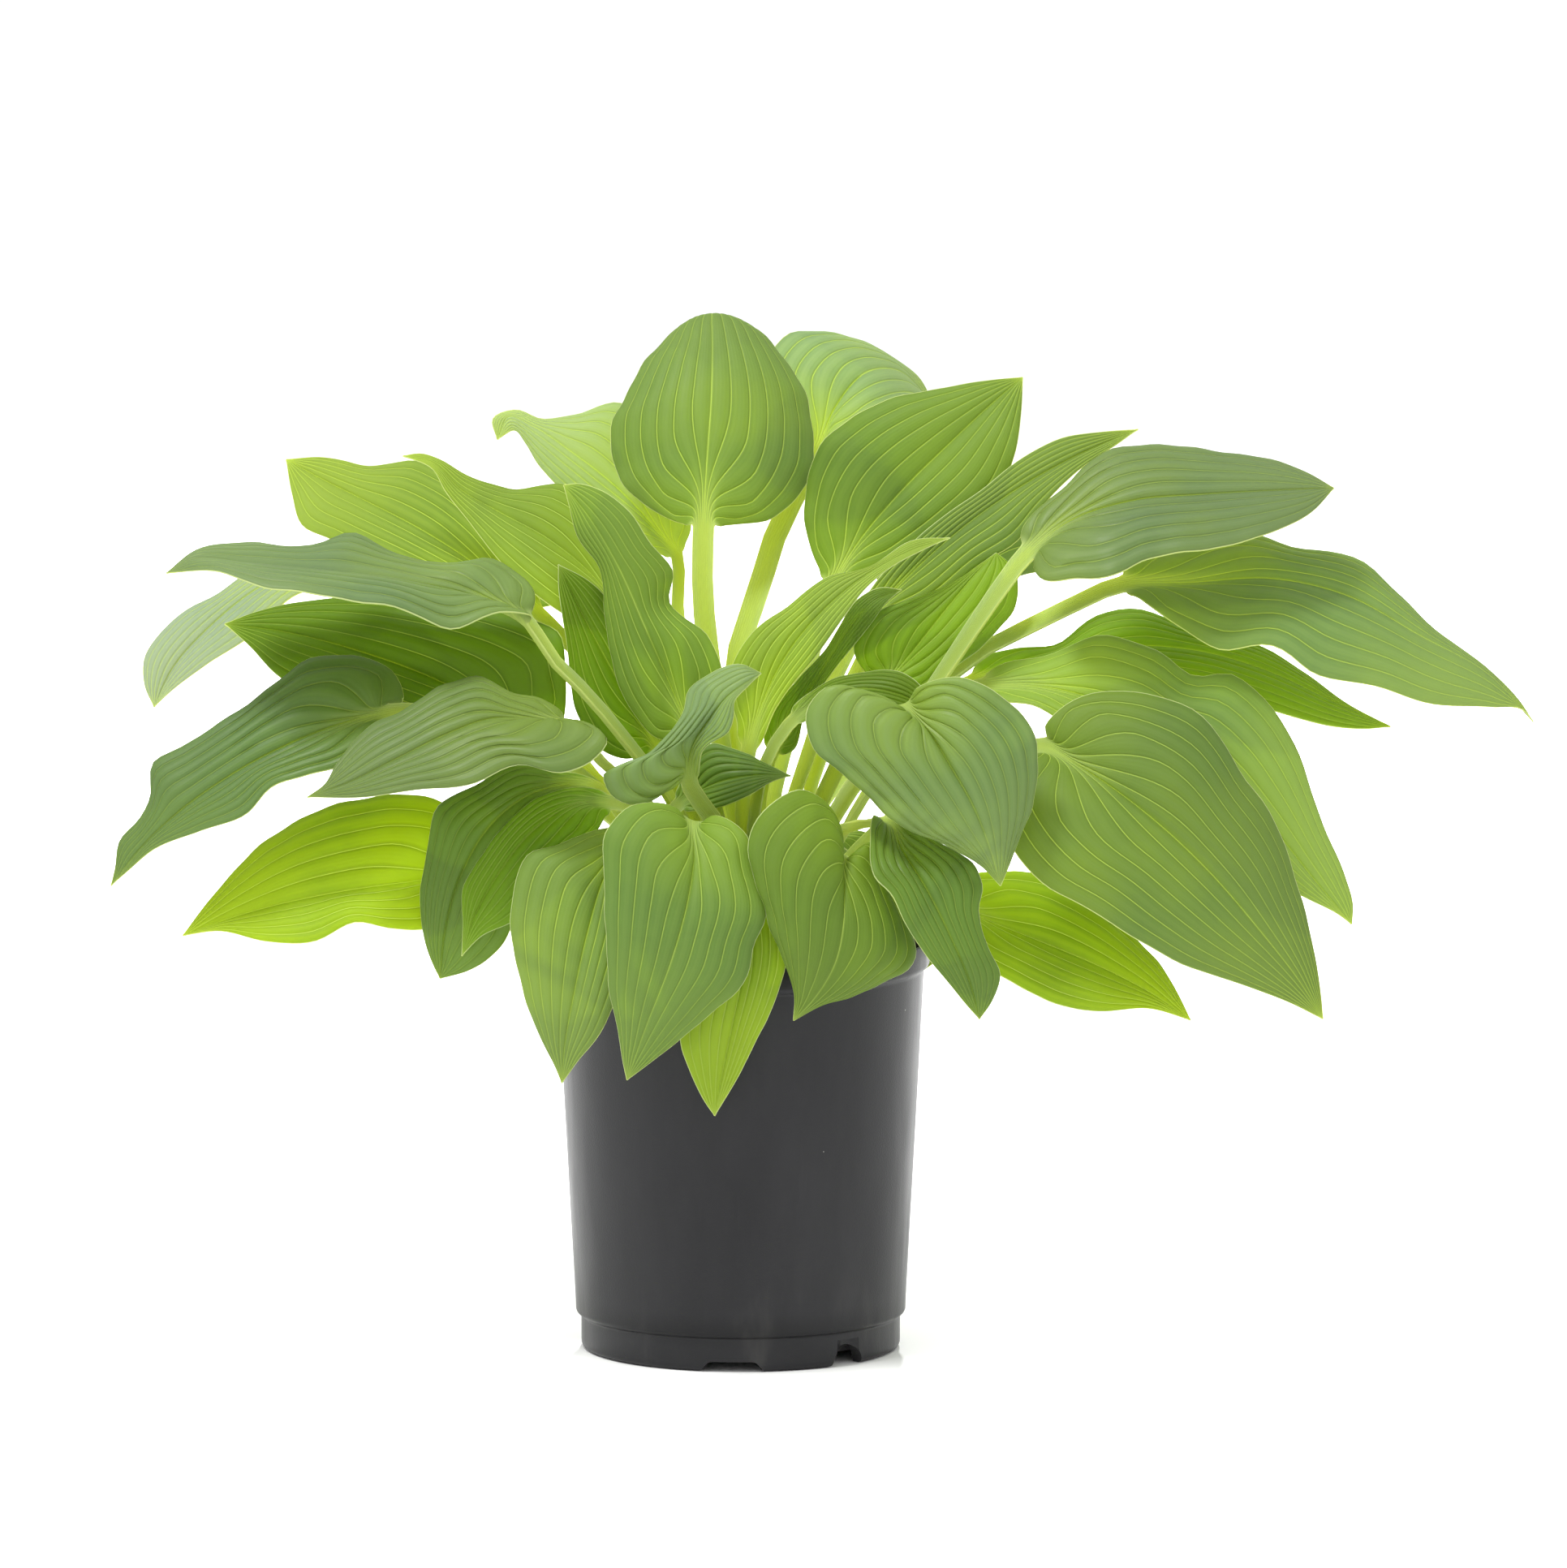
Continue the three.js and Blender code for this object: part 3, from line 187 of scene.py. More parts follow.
# Leaf points are [across, up, depth]: where they appear in a front picture, and how far behind
# the plane of the pot's axis they lie. About its centre the picture widens upwards by its taper,
# for each millimetre, and its heights are stretched.
VIEW_POINT = np.array([18.7, -12000.0, 2087.0])
PICTURE = dict(across=18.7, up=248, taper=3.93e-5, stretch=1.003)
VIEW_PITCH = 8.713
IMAGE_HEIGHT = 1932
FOCAL_PIXELS = 34340
SENSOR = 36
FAR_CLIP = 60

# One entry per leaf. root is [ring radius, azimuth] in the crown, stem the points that the petiole
# bends through, rib the midrib from the base of the blade to its tip. left and right are the
# margins as seen on the upper face with the tip ahead; their depth is measured from the rib,
# and lean adds to it for each millimetre that the margin stands above the rib. look says how
# light and how pale the leaf is against its tone: under 1 is darker and yellower. It is partly
# painted light and shade, darker for leaves that lie in more shade and lighter for those in more light.
LEAVES = [dict(
    name="leaf_01", tone="mid", root=[10, 90], petiole=4.2, look=[1.06, 1.4],
    stem=[[-12, 290, 14], [-16.5, 335, 22]],
    rib=[[-16, 360, 28], [-14.5, 388, 34], [-12.5, 416, 46], [-12, 438, 62], [-12, 452.5, 78],
      [-10, 445, 90]],
    left=[[-27, 362, 2], [-43, 371, 5], [-54, 384, 8], [-56, 401, 8], [-49, 419, 6], [-39, 434, 4],
      [-27, 445.5, 4]],
    right=[[-4, 361, 2], [14, 364, 6], [28, 377, 10], [32, 401, 12], [24, 426, 8], [8, 444.5, 4],
      [-3, 448.5, 2]],
), dict(
    name="leaf_02", tone="light", root=[19, 76], petiole=4.5, lean=0.5, look=[1.12, 1.9],
    stem=[[-1, 305, 28], [8, 332, 46], [15, 355, 64]],
    rib=[[33, 392, 88], [41, 412, 94], [54, 427, 104], [68, 428, 119], [84, 412, 134]],
    left=[[22, 400, 4], [12, 416, 6], [11, 432, 8], [18, 441.5, 8], [31, 445.5, 6], [49, 441.5, 4],
      [65, 434, 2], [77, 425, 0]],
    right=[[46, 390, 0], [60, 394, -2], [74, 402, -4], [83, 406, -4]],
), dict(
    name="leaf_03", tone="mid", root=[10, 45], petiole=3.6, lean=0.2, look=[1.04, 0.9],
    stem=[[15, 240, 12], [30, 300, 16]],
    rib=[[40, 334, 21], [50, 352, 23], [68, 374, 25], [90, 396, 29], [108, 413, 34], [122, 425, 39]],
    left=[[33, 345, 6], [28, 362, 10], [28, 378, 12], [35, 396, 10], [48, 408, 6], [66, 416, 4],
      [90, 421, 2], [110, 424, 1]],
    right=[[52, 337, -2], [72, 345, -3], [95, 358, -3], [112, 374, -3], [119, 393, -3],
      [121.5, 411, -1]],
), dict(
    name="leaf_04", tone="pale", root=[19, 98], petiole=2.4, lean=0.5, look=[0.96, 1],
    stem=[[-28, 330, 58]],
    rib=[[-28, 347, 62], [-38, 361, 64], [-52, 376, 68], [-72, 392, 72], [-90, 404, 76],
      [-100, 408, 78], [-105, 398, 78]],
    left=[[-34, 348, -1], [-58, 360, 4], [-78, 377, 4], [-88, 388, 3], [-93, 397, 2], [-97, 402, 1]],
    right=[[-22, 358, 4], [-27, 382, 6], [-40, 404, 6], [-53, 414, 5], [-70, 409.5, 3], [-86, 407, 2],
      [-97, 411, 1], [-107, 407, 0]],
), dict(
    name="leaf_05", tone="bright", root=[19, 142], petiole=3, lean=0.7, look=[0.91, 1.3],
    rib=[[-88, 322, 26], [-112, 342, 29], [-138, 359, 32], [-165, 373, 34], [-183, 382, 36],
      [-196.5, 389.5, 37]],
    left=[[-104, 322, 0], [-130, 334, 0], [-156, 345, 0], [-178, 355, 0], [-190, 361, 0],
      [-194, 374, 0]],
    right=[[-96, 346, 4], [-110, 366, 6], [-124, 381, 6], [-140, 388.5, 5], [-160, 387, 3],
      [-182, 390.5, 1]],
), dict(
    name="leaf_06", tone="bright", root=[10, 135], petiole=3.2, lean=0.6, look=[0.87, 1],
    rib=[[-50, 318, 2], [-63, 338, 5], [-83, 355, 8], [-105, 367, 11], [-122, 377, 13], [-133, 388, 14],
      [-146, 391, 14]],
    left=[[-66, 318, -2], [-88, 330, -3], [-104, 345, -3], [-118, 363, -2], [-128, 376, -1],
      [-133, 385, 0]],
    right=[[-52, 345, 5], [-60, 368, 8], [-76, 378.5, 8], [-100, 377, 6], [-118, 382.5, 4],
      [-130, 389.5, 2], [-138, 392, 1]],
), dict(
    name="leaf_07", tone="mid", root=[10, -135], petiole=3.4, lean=0.3, look=[1.15, 0.9],
    rib=[[-21, 268, -26], [-30, 290, -26], [-42, 318, -26], [-54, 345, -25], [-66, 365, -22],
      [-76.5, 378.5, -18]],
    left=[[-36, 268, 2], [-48, 281, 4], [-56, 302, 6], [-59, 324, 7], [-61, 342, 5], [-71, 357, 3],
      [-74, 369, 1]],
    right=[[-8, 280, 0], [-8, 298, -2], [-14, 313, 0], [-31, 328, 8], [-29, 341, 6], [-39, 353, 2],
      [-48, 367, 0], [-60, 376, 0], [-70, 379, 0]],
), dict(
    name="leaf_08", tone="grey", root=[19, 164], petiole=4.2, look=[1, 1.1],
    stem=[[-30, 240, -20], [-45, 260, -26], [-66, 286, -30], [-84, 305, -32]],
    rib=[[-92, 318, -33], [-112, 329, -36], [-145, 337, -38], [-180, 341, -40], [-215, 344.5, -42],
      [-238, 346, -43], [-249, 340, -43]],
    left=[[-92, 321, -12], [-104, 323, -20], [-125, 316.5, -28], [-145, 324, -32], [-175, 330, -34],
      [-205, 334, -28], [-228, 341, -14]],
    right=[[-90, 332, 16], [-96, 340, 26], [-108, 347, 30], [-122, 343, 34], [-145, 347, 38],
      [-168, 357, 38], [-185, 352, 34], [-212, 353, 26], [-235, 350.5, 12]],
), dict(
    name="leaf_09", tone="pale", root=[28, 155], petiole=3, lean=0.7, look=[0.86, 1.6],
    stem=[[-80, 272, 46]],
    rib=[[-140, 345, 62], [-172, 347, 66], [-205, 336, 70], [-230, 317, 72], [-247, 298, 73],
      [-255, 281.5, 73]],
    left=[[-150, 335, -4], [-172, 335, -6], [-192, 331, -6], [-212, 313, -5], [-232, 300, -3],
      [-248, 288, -1]],
    right=[[-152, 350, 6], [-178, 352, 8], [-205, 346, 8], [-226, 332, 6], [-247, 319, 4],
      [-259, 303, 2], [-259, 291, 1]],
), dict(
    name="leaf_10", tone="deep", root=[28, 172], petiole=3.2, lean=0.5, look=[0.84, 1],
    rib=[[-80, 264, -8], [-106, 280, -1], [-135, 295, 4], [-165, 306, 6], [-195, 314, 6],
      [-224, 318, 4]],
    left=[[-95, 257, -4], [-125, 266, -5], [-155, 275, -5], [-182, 285, -4], [-202, 296, -2],
      [-213, 308, -1]],
    right=[[-76.5, 277, -7], [-76, 298, -17], [-78.5, 314, -22], [-92, 321, -14], [-110, 325, -6],
      [-130, 328, 0], [-160, 330, 3], [-190, 328, 2], [-211, 323, 1]],
), dict(
    name="leaf_11", tone="dark", root=[19, -174], petiole=3.4, lean=0.5, look=[0.96, 1.6],
    rib=[[-152, 279, -36], [-175, 274, -42], [-200, 264, -47], [-225, 250, -50], [-248, 233, -52],
      [-264, 217, -53], [-275, 203, -53]],
    left=[[-158, 268, -6], [-172, 257, -8], [-190, 251.5, -8], [-205, 246, -7], [-215, 235, -6],
      [-236, 227, -4], [-256, 219, -2], [-268, 209, 0]],
    right=[[-147, 283, 4], [-151, 297, 7], [-165, 304.5, 8], [-185, 303.5, 8], [-204, 292, 7],
      [-222, 278, 6], [-243, 265, 5], [-256, 258, 4], [-257, 243, 4], [-262, 233, 2], [-271, 223, 1],
      [-273, 211, 0]],
), dict(
    name="leaf_12", tone="grey", root=[19, -152], petiole=3.2, lean=0.8, look=[0.9, 0.8],
    stem=[[-38, 236, -24], [-64, 261, -44]],
    rib=[[-75, 273, -62], [-90, 276, -68], [-108, 277, -73], [-128, 270, -78], [-150, 259, -82],
      [-172, 248, -84], [-189, 242, -84]],
    left=[[-66, 273, -8], [-58, 267, -9], [-64, 259, -7], [-78, 253, -6], [-97, 256.5, -6],
      [-118, 247.5, -5], [-140, 245.5, -4], [-165, 242, -2]],
    right=[[-79, 279, 4], [-88, 285.5, 6], [-100, 288, 7], [-114, 296, 8], [-128, 292, 7],
      [-146, 281.5, 6], [-163, 272, 4], [-176, 257, 2], [-181, 248, 1]],
), dict(
    name="leaf_13", tone="bright", root=[28, -171], petiole=3.2, lean=0.5, look=[1.07, 0.3],
    rib=[[-106, 212, -28], [-138, 206, -34], [-172, 201, -38], [-205, 194, -41], [-228, 187, -42],
      [-244, 181, -42]],
    left=[[-118, 198, -4], [-138, 184, -6], [-152, 184, -6], [-168, 187, -5], [-186, 178.5, -5],
      [-208, 178.5, -4], [-228, 183, -2]],
    right=[[-112, 232, 4], [-130, 240, 6], [-150, 244, 6], [-172, 240, 6], [-196, 231, 5],
      [-217, 214, 4], [-232, 197, 2]],
), dict(
    name="leaf_14", tone="dark", root=[28, -156], petiole=3.2, lean=0.3, look=[1.12, 0.8],
    stem=[[-44, 218, -30]],
    rib=[[-64, 246, -42], [-88, 245, -50], [-108, 231, -55], [-122, 208, -58], [-129, 184, -58],
      [-131.5, 162, -57]],
    left=[[-66, 234, -2], [-78, 222, -3], [-90, 205, -3], [-98, 190, -2], [-104, 177, -1],
      [-118, 166, 0]],
    right=[[-78, 252, 3], [-97, 257, 5], [-115, 248, 6], [-131, 239.5, 6], [-137, 219, 5],
      [-140, 195, 4], [-138, 178, 3], [-134, 167, 1]],
), dict(
    name="leaf_15", tone="deep", root=[28, -140], petiole=3.2, lean=0.3, look=[1.3, 1],
    rib=[[-57, 239, -54], [-72, 239, -60], [-90, 228, -66], [-106, 208, -69], [-116, 190, -69],
      [-122, 172, -68]],
    left=[[-62, 228, -2], [-74, 214, -3], [-86, 200, -3], [-100, 187, -2], [-113, 181, -1]],
    right=[[-70, 246, 3], [-86, 243, 4], [-100, 233, 4], [-112, 218, 4], [-121, 203, 3],
      [-121.5, 185, 1]],
), dict(
    name="leaf_16", tone="light", root=[28, -123], petiole=3.2, look=[0.92, 0.9],
    rib=[[-46, 228, -65.5], [-59, 208, -83.5], [-67, 182, -93.5], [-73, 155, -96.5], [-77, 133, -95.5],
      [-78.5, 115.5, -93.5]],
    left=[[-42, 215, -1], [-44, 195, -2], [-48, 175, -2], [-54, 155, -2], [-62, 137, -1],
      [-71, 126, 0]],
    right=[[-62, 227.5, 2], [-80, 221.5, 4], [-93, 216.5, 5], [-100, 198, 5], [-99.5, 175, 5],
      [-94, 152, 4], [-87, 134, 2], [-81, 122, 1]],
), dict(
    name="leaf_17", tone="mid", root=[28, -106], petiole=3.6, look=[1.16, 1.2],
    stem=[[-14, 214, -50]],
    rib=[[-21, 231, -76], [-20.5, 213, -96], [-24, 192, -108], [-31, 168, -113], [-41, 142, -112],
      [-50, 117, -108]],
    left=[[-10, 233, -2], [2, 226, 0], [6, 211, 3], [11, 191, 5], [6, 176, 6], [3, 163, 5],
      [-10, 149, 4], [-28, 134, 3], [-42, 123, 1]],
    right=[[-33, 238.5, -2], [-48, 238.5, 0], [-59, 226, 4], [-60, 208, 6], [-59, 185, 6],
      [-58, 160, 5], [-54, 140, 3], [-51.5, 124, 1]],
), dict(
    name="leaf_18", tone="bright", root=[28, -88], petiole=2.8, look=[1.17, 0.5],
    rib=[[5, 210, -76], [4, 192, -90], [1, 165, -95], [-4, 140, -95], [-8.5, 118, -94],
      [-11.5, 101, -93]],
    left=[[13, 205, 0], [18, 186, 1], [19.5, 168, 1], [15, 152, 1], [8, 137, 1], [-2, 117, 0]],
    right=[[-4, 205, 0], [-14, 186, 1], [-22, 160, 1], [-27, 138, 1], [-22, 120, 1], [-15, 106, 0]],
), dict(
    name="leaf_19", tone="mid", root=[28, -70], petiole=3.4, look=[1, 0.8],
    stem=[[32, 200, -56]],
    rib=[[43, 217, -82], [45, 203, -98], [45, 186, -108], [41, 168, -111], [32, 153, -109],
      [23, 143.5, -105]],
    left=[[49, 218, 0], [57, 222, 6], [63, 212, 14], [70, 195, 20], [76, 181, 24], [77, 172, 24],
      [66, 162, 18], [50, 154.5, 10], [36, 150.5, 4]],
    right=[[42, 230, -2], [37, 240, 0], [28, 245.5, 2], [14, 240, 4], [4, 227, 6], [5, 209, 6],
      [11, 190, 5], [19, 169, 4], [23.5, 154, 1]],
), dict(
    name="leaf_20", tone="dark", root=[28, -52], petiole=3.2, look=[1.03, 0.8],
    stem=[[34, 220, -44], [48, 229, -50]],
    rib=[[63, 231, -62], [71, 218, -84], [82, 200, -98], [92, 180, -104], [100, 161, -104],
      [104.5, 144, -100]],
    left=[[72, 230, -3], [88, 222, -3], [103, 211, 2], [106, 203, 6], [104, 192, 6], [108, 177, 5],
      [113.5, 163, 3], [110, 152, 1]],
    right=[[59, 233, -2], [56.5, 222, -10], [58, 208, -14], [66, 199, -10], [71, 188, -6],
      [79, 175, -3], [91, 160, 0], [100, 149, 0]],
), dict(
    name="leaf_21", tone="grey", root=[19, -64], petiole=3.6, look=[1.12, 0.85],
    stem=[[44, 238, -42], [60, 262, -58]],
    rib=[[70, 282, -76], [81, 272, -88], [92, 255, -98], [102, 237, -103], [109, 219, -104],
      [113.5, 203, -103]],
    left=[[78, 290, -2], [94, 295, 0], [110, 289, 3], [126, 274, 6], [130, 256, 8], [127, 238, 8],
      [121, 222, 5], [116, 209, 1]],
    right=[[62, 284, -2], [50, 289, 0], [38, 290.5, 1], [29, 282, 3], [30, 266, 5], [42, 254, 6],
      [56, 241, 6], [72, 228, 5], [91, 220, 4], [106, 211, 2]],
), dict(
    name="leaf_22", tone="bright", root=[28, -34], petiole=3.2, lean=0.8, look=[1.12, 0.3],
    rib=[[90, 195, -54], [110, 187, -58], [135, 177, -61], [160, 166, -63], [182, 154, -64],
      [197, 143.5, -64]],
    left=[[98, 206, 3], [115, 210, 4], [135, 207, 5], [155, 196, 5], [174, 179, 4], [187, 163, 2],
      [193, 152, 1]],
    right=[[92, 182, -3], [103, 170, -4], [118, 161, -4], [136, 151.5, -3], [155, 147.5, -2],
      [180, 148.5, -1]],
), dict(
    name="leaf_23", tone="mid", root=[28, -16], petiole=3.6, lean=0.35, look=[0.95, 1.4],
    stem=[[70, 220, -24], [108, 253, -38]],
    rib=[[131, 264, -50], [147, 256, -60], [172, 239, -72], [202, 212, -80], [228, 182, -84],
      [245, 160, -85], [255, 144, -84]],
    left=[[133, 273, 0], [140, 281, 2], [156, 288.5, 4], [180, 287, 6], [203, 276, 7], [220, 250, 8],
      [235, 228, 7], [244, 200, 6], [251, 173, 4], [254, 154, 1]],
    right=[[121, 256, -4], [113, 238, -6], [119, 219, -6], [133, 203, -4], [152, 193, -2],
      [170, 181, 0], [192, 169, 1], [217, 160, 1], [240, 151.5, 1]],
), dict(
    name="leaf_24", tone="light", root=[19, -42], petiole=3.4, lean=0.5, look=[1.02, 1],
    rib=[[104, 290, -14], [135, 290, -24], [170, 279, -32], [203, 258, -38], [230, 231, -42],
      [251, 205, -44], [267, 186, -44]],
    left=[[113, 299, 3], [132, 303.5, 5], [157, 313, 6], [181, 307, 7], [198, 295, 7], [214, 296, 7],
      [232, 281, 6], [244, 258, 5], [255, 228, 4], [264, 207, 2], [267.5, 194, 1]],
    right=[[112, 284, -3], [127, 282, -4], [147, 270, -4], [175, 252, -3], [205, 228, -2],
      [228, 208, -1], [248, 197, 0], [260, 191, 0]],
), dict(
    name="leaf_25", tone="deep", root=[19, 24], petiole=3, lean=0.8, look=[1.3, 2.6],
    rib=[[100, 292, 20], [130, 299, 20], [162, 308, 20], [195, 307, 19], [228, 298, 18], [258, 284, 17],
      [283, 273, 16]],
    left=[[104, 301, 3], [119, 307, 4], [137, 309, 5], [156, 323, 6], [172, 325, 6], [192, 317, 6],
      [222, 310, 5], [245, 297, 3], [264, 283, 1]],
    right=[[112, 286, -3], [140, 288, -4], [170, 293, -4], [200, 290, -3], [232, 280, -2],
      [258, 273, -1], [272, 272, 0]],
), dict(
    name="leaf_26", tone="mid", root=[19, 2], petiole=4.6, lean=0.35, look=[1.22, 2],
    stem=[[60, 252, 0], [103, 304, 4], [132, 319, 5]],
    rib=[[165, 334, 6], [195, 336, 5], [230, 338, 2], [262, 331, -1], [295, 313, -4], [325, 296, -6],
      [345, 275, -7]],
    left=[[168, 343, 6], [188, 352, 14], [215, 358, 18], [240, 352, 18], [266, 347, 15], [284, 333, 12],
      [302, 315, 9], [324, 299, 5], [339, 284, 2]],
    right=[[172, 329, -8], [190, 317, -15], [208, 307, -20], [230, 309, -20], [250, 296, -17],
      [275, 291, -13], [300, 283, -8], [327, 281.5, -3], [341, 280, -1]],
), dict(
    name="leaf_27", tone="grey", root=[19, -20], petiole=5.6, lean=0.9, look=[0.9, 1.1],
    stem=[[70, 268, -22], [94, 304, -20], [110, 328, -18]],
    rib=[[125, 348, -17], [143, 363, -16], [170, 372, -15], [200, 374.5, -13], [230, 376, -10],
      [257, 377, -6]],
    left=[[124, 360, 4], [138, 376, 7], [154, 391, 8], [172, 396.5, 8], [200, 394, 7], [226, 390.5, 5],
      [245, 384, 2]],
    right=[[131, 337, -3], [146, 338, -6], [160, 338.5, -8], [175, 346, -8], [205, 351, -7],
      [232, 358.5, -4], [248, 367, -1]],
), dict(
    name="leaf_28", tone="mid", root=[0, 0], petiole=3.2, lean=0.25, look=[0.98, 1.2],
    stem=[[30, 260, 3]],
    rib=[[50, 312, 7], [74, 340, 9], [104, 366, 12], [132, 384, 16], [156, 396, 21], [172, 402.5, 27]],
    left=[[55, 330, 0], [72, 351, 0], [88, 365, 0], [106, 377.5, 0], [120, 389, 1], [140, 399, 1],
      [157, 401.5, 0]],
    right=[[62, 318, -2], [84, 328, -3], [104, 344, -4], [120, 354, -4], [130, 368, -4], [148, 386, -3],
      [163, 396, -1]],
), dict(
    name="leaf_29", tone="mid", root=[28, 138], petiole=3,
    rib=[[-66, 240, 72], [-84, 252, 100], [-98, 250, 126], [-108, 236, 146], [-112, 216, 158]],
    left=[[-80, 234, -10], [-102, 242, -16], [-117, 238, -18], [-120, 224, -10]],
    right=[[-60, 244, 8], [-64, 253, 14], [-76, 247, 18], [-94, 230, 12]],
), dict(
    name="leaf_30", tone="mid", root=[28, 120], petiole=3,
    rib=[[-34, 220, 60], [-54, 225, 88], [-70, 214, 114], [-79, 190, 132], [-83, 160, 142]],
    left=[[-54, 213, -10], [-80, 213, -16], [-97, 198, -16], [-99, 176, -8]],
    right=[[-24, 221, 10], [-34, 221, 16], [-46, 205, 18], [-60, 180, 12]],
), dict(
    name="leaf_31", tone="bright", root=[10, -90], petiole=3, lean=0.5, look=[0.94, 1.1],
    rib=[[4, 263, -24], [9, 282, -24], [19, 303, -24], [35, 323, -22], [54, 339, -19], [74, 350, -14],
      [91, 355.5, -10]],
    left=[[-1, 275, 1], [-5, 296, 2], [4, 313, 2], [20, 325.5, 2], [36, 337.5, 2], [56, 343, 1],
      [75, 354.5, 0]],
    right=[[10, 272, -1], [20, 288, -2], [33, 304, -2], [45, 321, -2], [55, 334, -1], [66, 343, 0],
      [79, 350, 0]],
), dict(
    name="leaf_32", tone="dark", root=[10, -45], petiole=2.6, look=[1.25, 0.4],
    rib=[[14, 262, -12], [25, 281, -12], [37, 300, -11], [48, 317, -10], [59, 329, -8], [70, 333, -6]],
    left=[[10, 272, 1], [24, 293, 2], [37, 307, 2], [43, 317, 2], [51, 329, 1], [61, 334, 0]],
    right=[[22, 262, -1], [28, 278, -2], [38, 294, -2], [48, 307, -2], [56, 317, -1], [64, 328, 0]],
), dict(
    name="leaf_33", tone="deep", root=[10, 0], petiole=3.4, lean=0, look=[1.3, 2.8],
    stem=[[40, 250, -2]],
    rib=[[62, 290, -11], [77, 309, -9], [92, 328, -6], [102, 340, -3], [111, 349, 1]],
    left=[[55, 296, 1], [49, 306, 2], [57, 322, 3], [74, 329, 2], [92, 336, 1]],
    right=[[75, 287, -1], [92, 298, -1], [108, 311, 0], [120, 328, 2], [119, 342, 2]],
), dict(
    name="leaf_34", tone="mid", root=[28, 102], petiole=3,
    rib=[[0, 220, 66], [-4, 225, 98], [-8, 214, 130], [-10, 188, 152], [-12, 156, 162]],
    left=[[-14, 217, -2], [-31, 216, 0], [-38, 197, 2], [-33, 172, 2]],
    right=[[15, 216, 2], [29, 214, 0], [32, 194, 0], [18, 170, 0]],
), dict(
    name="leaf_35", tone="dark", root=[19, -86], petiole=2.6, look=[1.05, 0.1],
    rib=[[24, 276, -38], [38, 287, -42], [54, 290, -46], [70, 287, -49], [84, 280, -50]],
    left=[[26, 283, 3], [38, 293, 4], [54, 297, 4], [70, 297, 3], [80, 289, 1]],
    right=[[34, 279, -2], [48, 282, -3], [62, 281, -2], [75, 278, -1]],
), dict(
    name="leaf_36", tone="grey", root=[19, -108], petiole=3.4, look=[1.28, 1.15],
    stem=[[-12, 232, -44]],
    rib=[[-23, 250, -55], [-21, 264, -60], [-14, 276, -62], [-6, 286, -62], [2, 292, -61],
      [9, 296.5, -60]],
    left=[[-33, 245, -4], [-44, 239, -6], [-57, 243, -6], [-60, 252, -5], [-46, 258, -2], [-34, 268, 0],
      [-25, 279, 2], [-23, 289, 4], [-14, 296, 4], [0, 300.5, 2]],
    right=[[-20, 257, -2], [-14, 265, -3], [-5, 271, -3], [-3, 277, -2], [-2.5, 284, -1],
      [3, 290.5, 0]],
), dict(
    name="leaf_37", tone="dark", root=[19, -130], petiole=2.8, lean=0.3, look=[1.12, 0.9],
    rib=[[-26, 239, -32], [-14, 247, -36], [0, 251, -39], [12, 252, -40], [22, 251.5, -39]],
    left=[[-26, 250, 2], [-14, 265.5, 2], [0, 262.5, 2], [12, 256.5, 1]],
    right=[[-20, 236, -1], [-8, 238, -1], [4, 243, -1], [14, 249, 0]],
), dict(
    name="leaf_38", tone="deep", root=[10, 180], petiole=2.4, lean=0.3, look=[0.92, 0.1],
    rib=[[-36, 263, -14], [-47, 282, -13], [-59, 304, -12], [-70, 325, -10], [-79, 344, -8]],
    left=[[-51, 259, 2], [-62, 264, 4], [-70, 276, 5], [-74, 291, 4], [-75, 306, 2], [-77.5, 322, -2],
      [-79, 335, -1]],
    right=[[-32, 276, 1], [-40, 298, 1], [-51, 320, 1], [-66, 337, 1]],
), dict(
    name="leaf_39", tone="mid", root=[28, 66], petiole=3,
    rib=[[38, 222, 66], [54, 227, 94], [66, 216, 122], [74, 192, 142], [78, 164, 150]],
    left=[[28, 222, 10], [38, 222, 16], [42, 204, 18], [54, 180, 12]],
    right=[[56, 214, -10], [80, 216, -16], [96, 200, -16], [94, 178, -8]],
), dict(
    name="leaf_40", tone="mid", root=[28, 84], petiole=3,
    rib=[[52, 260, 70], [63, 270, 98], [73, 265, 126], [81, 247, 148], [85, 224, 160]],
    left=[[46, 263, 8], [44, 269, 12], [52, 258, 14], [68, 240, 8]],
    right=[[66, 256, -8], [90, 264, -12], [103, 256, -14], [100, 238, -8]],
), dict(
    name="leaf_41", tone="mid", root=[28, 48], petiole=3,
    rib=[[92, 250, 48], [118, 260, 70], [142, 260, 92], [162, 245, 110], [172, 222, 120]],
    left=[[88, 257, 12], [98, 267, 18], [122, 267, 20], [148, 252, 14]],
    right=[[106, 242, -12], [136, 245, -20], [162, 239, -22], [172, 230, -12]],
), dict(
    name="leaf_42", tone="mid", root=[28, 30], petiole=3,
    rib=[[78, 199, 34], [106, 193, 50], [134, 183, 66], [158, 168, 78], [174, 150, 84]],
    left=[[80, 205, 10], [95, 205, 16], [122, 203, 20], [150, 190, 16], [168, 166, 8]],
    right=[[86, 188, -8], [110, 175, -16], [138, 163, -20], [160, 154, -12]],
), dict(
    name="leaf_43", tone="mid", root=[19, 120], petiole=3,
    rib=[[-70, 328, 68], [-92, 350, 92], [-114, 361, 118], [-134, 358, 142], [-148, 341, 158]],
    left=[[-90, 325, -12], [-121, 338, -20], [-145, 347, -20], [-156, 342, -10]],
    right=[[-58, 337, 10], [-66, 359, 16], [-89, 368, 18], [-116, 366, 14], [-138, 351, 6]],
), dict(
    name="leaf_44", tone="mid", root=[19, 50], petiole=3,
    rib=[[70, 328, 56], [92, 352, 82], [114, 367, 108], [138, 364, 134], [158, 345, 152]],
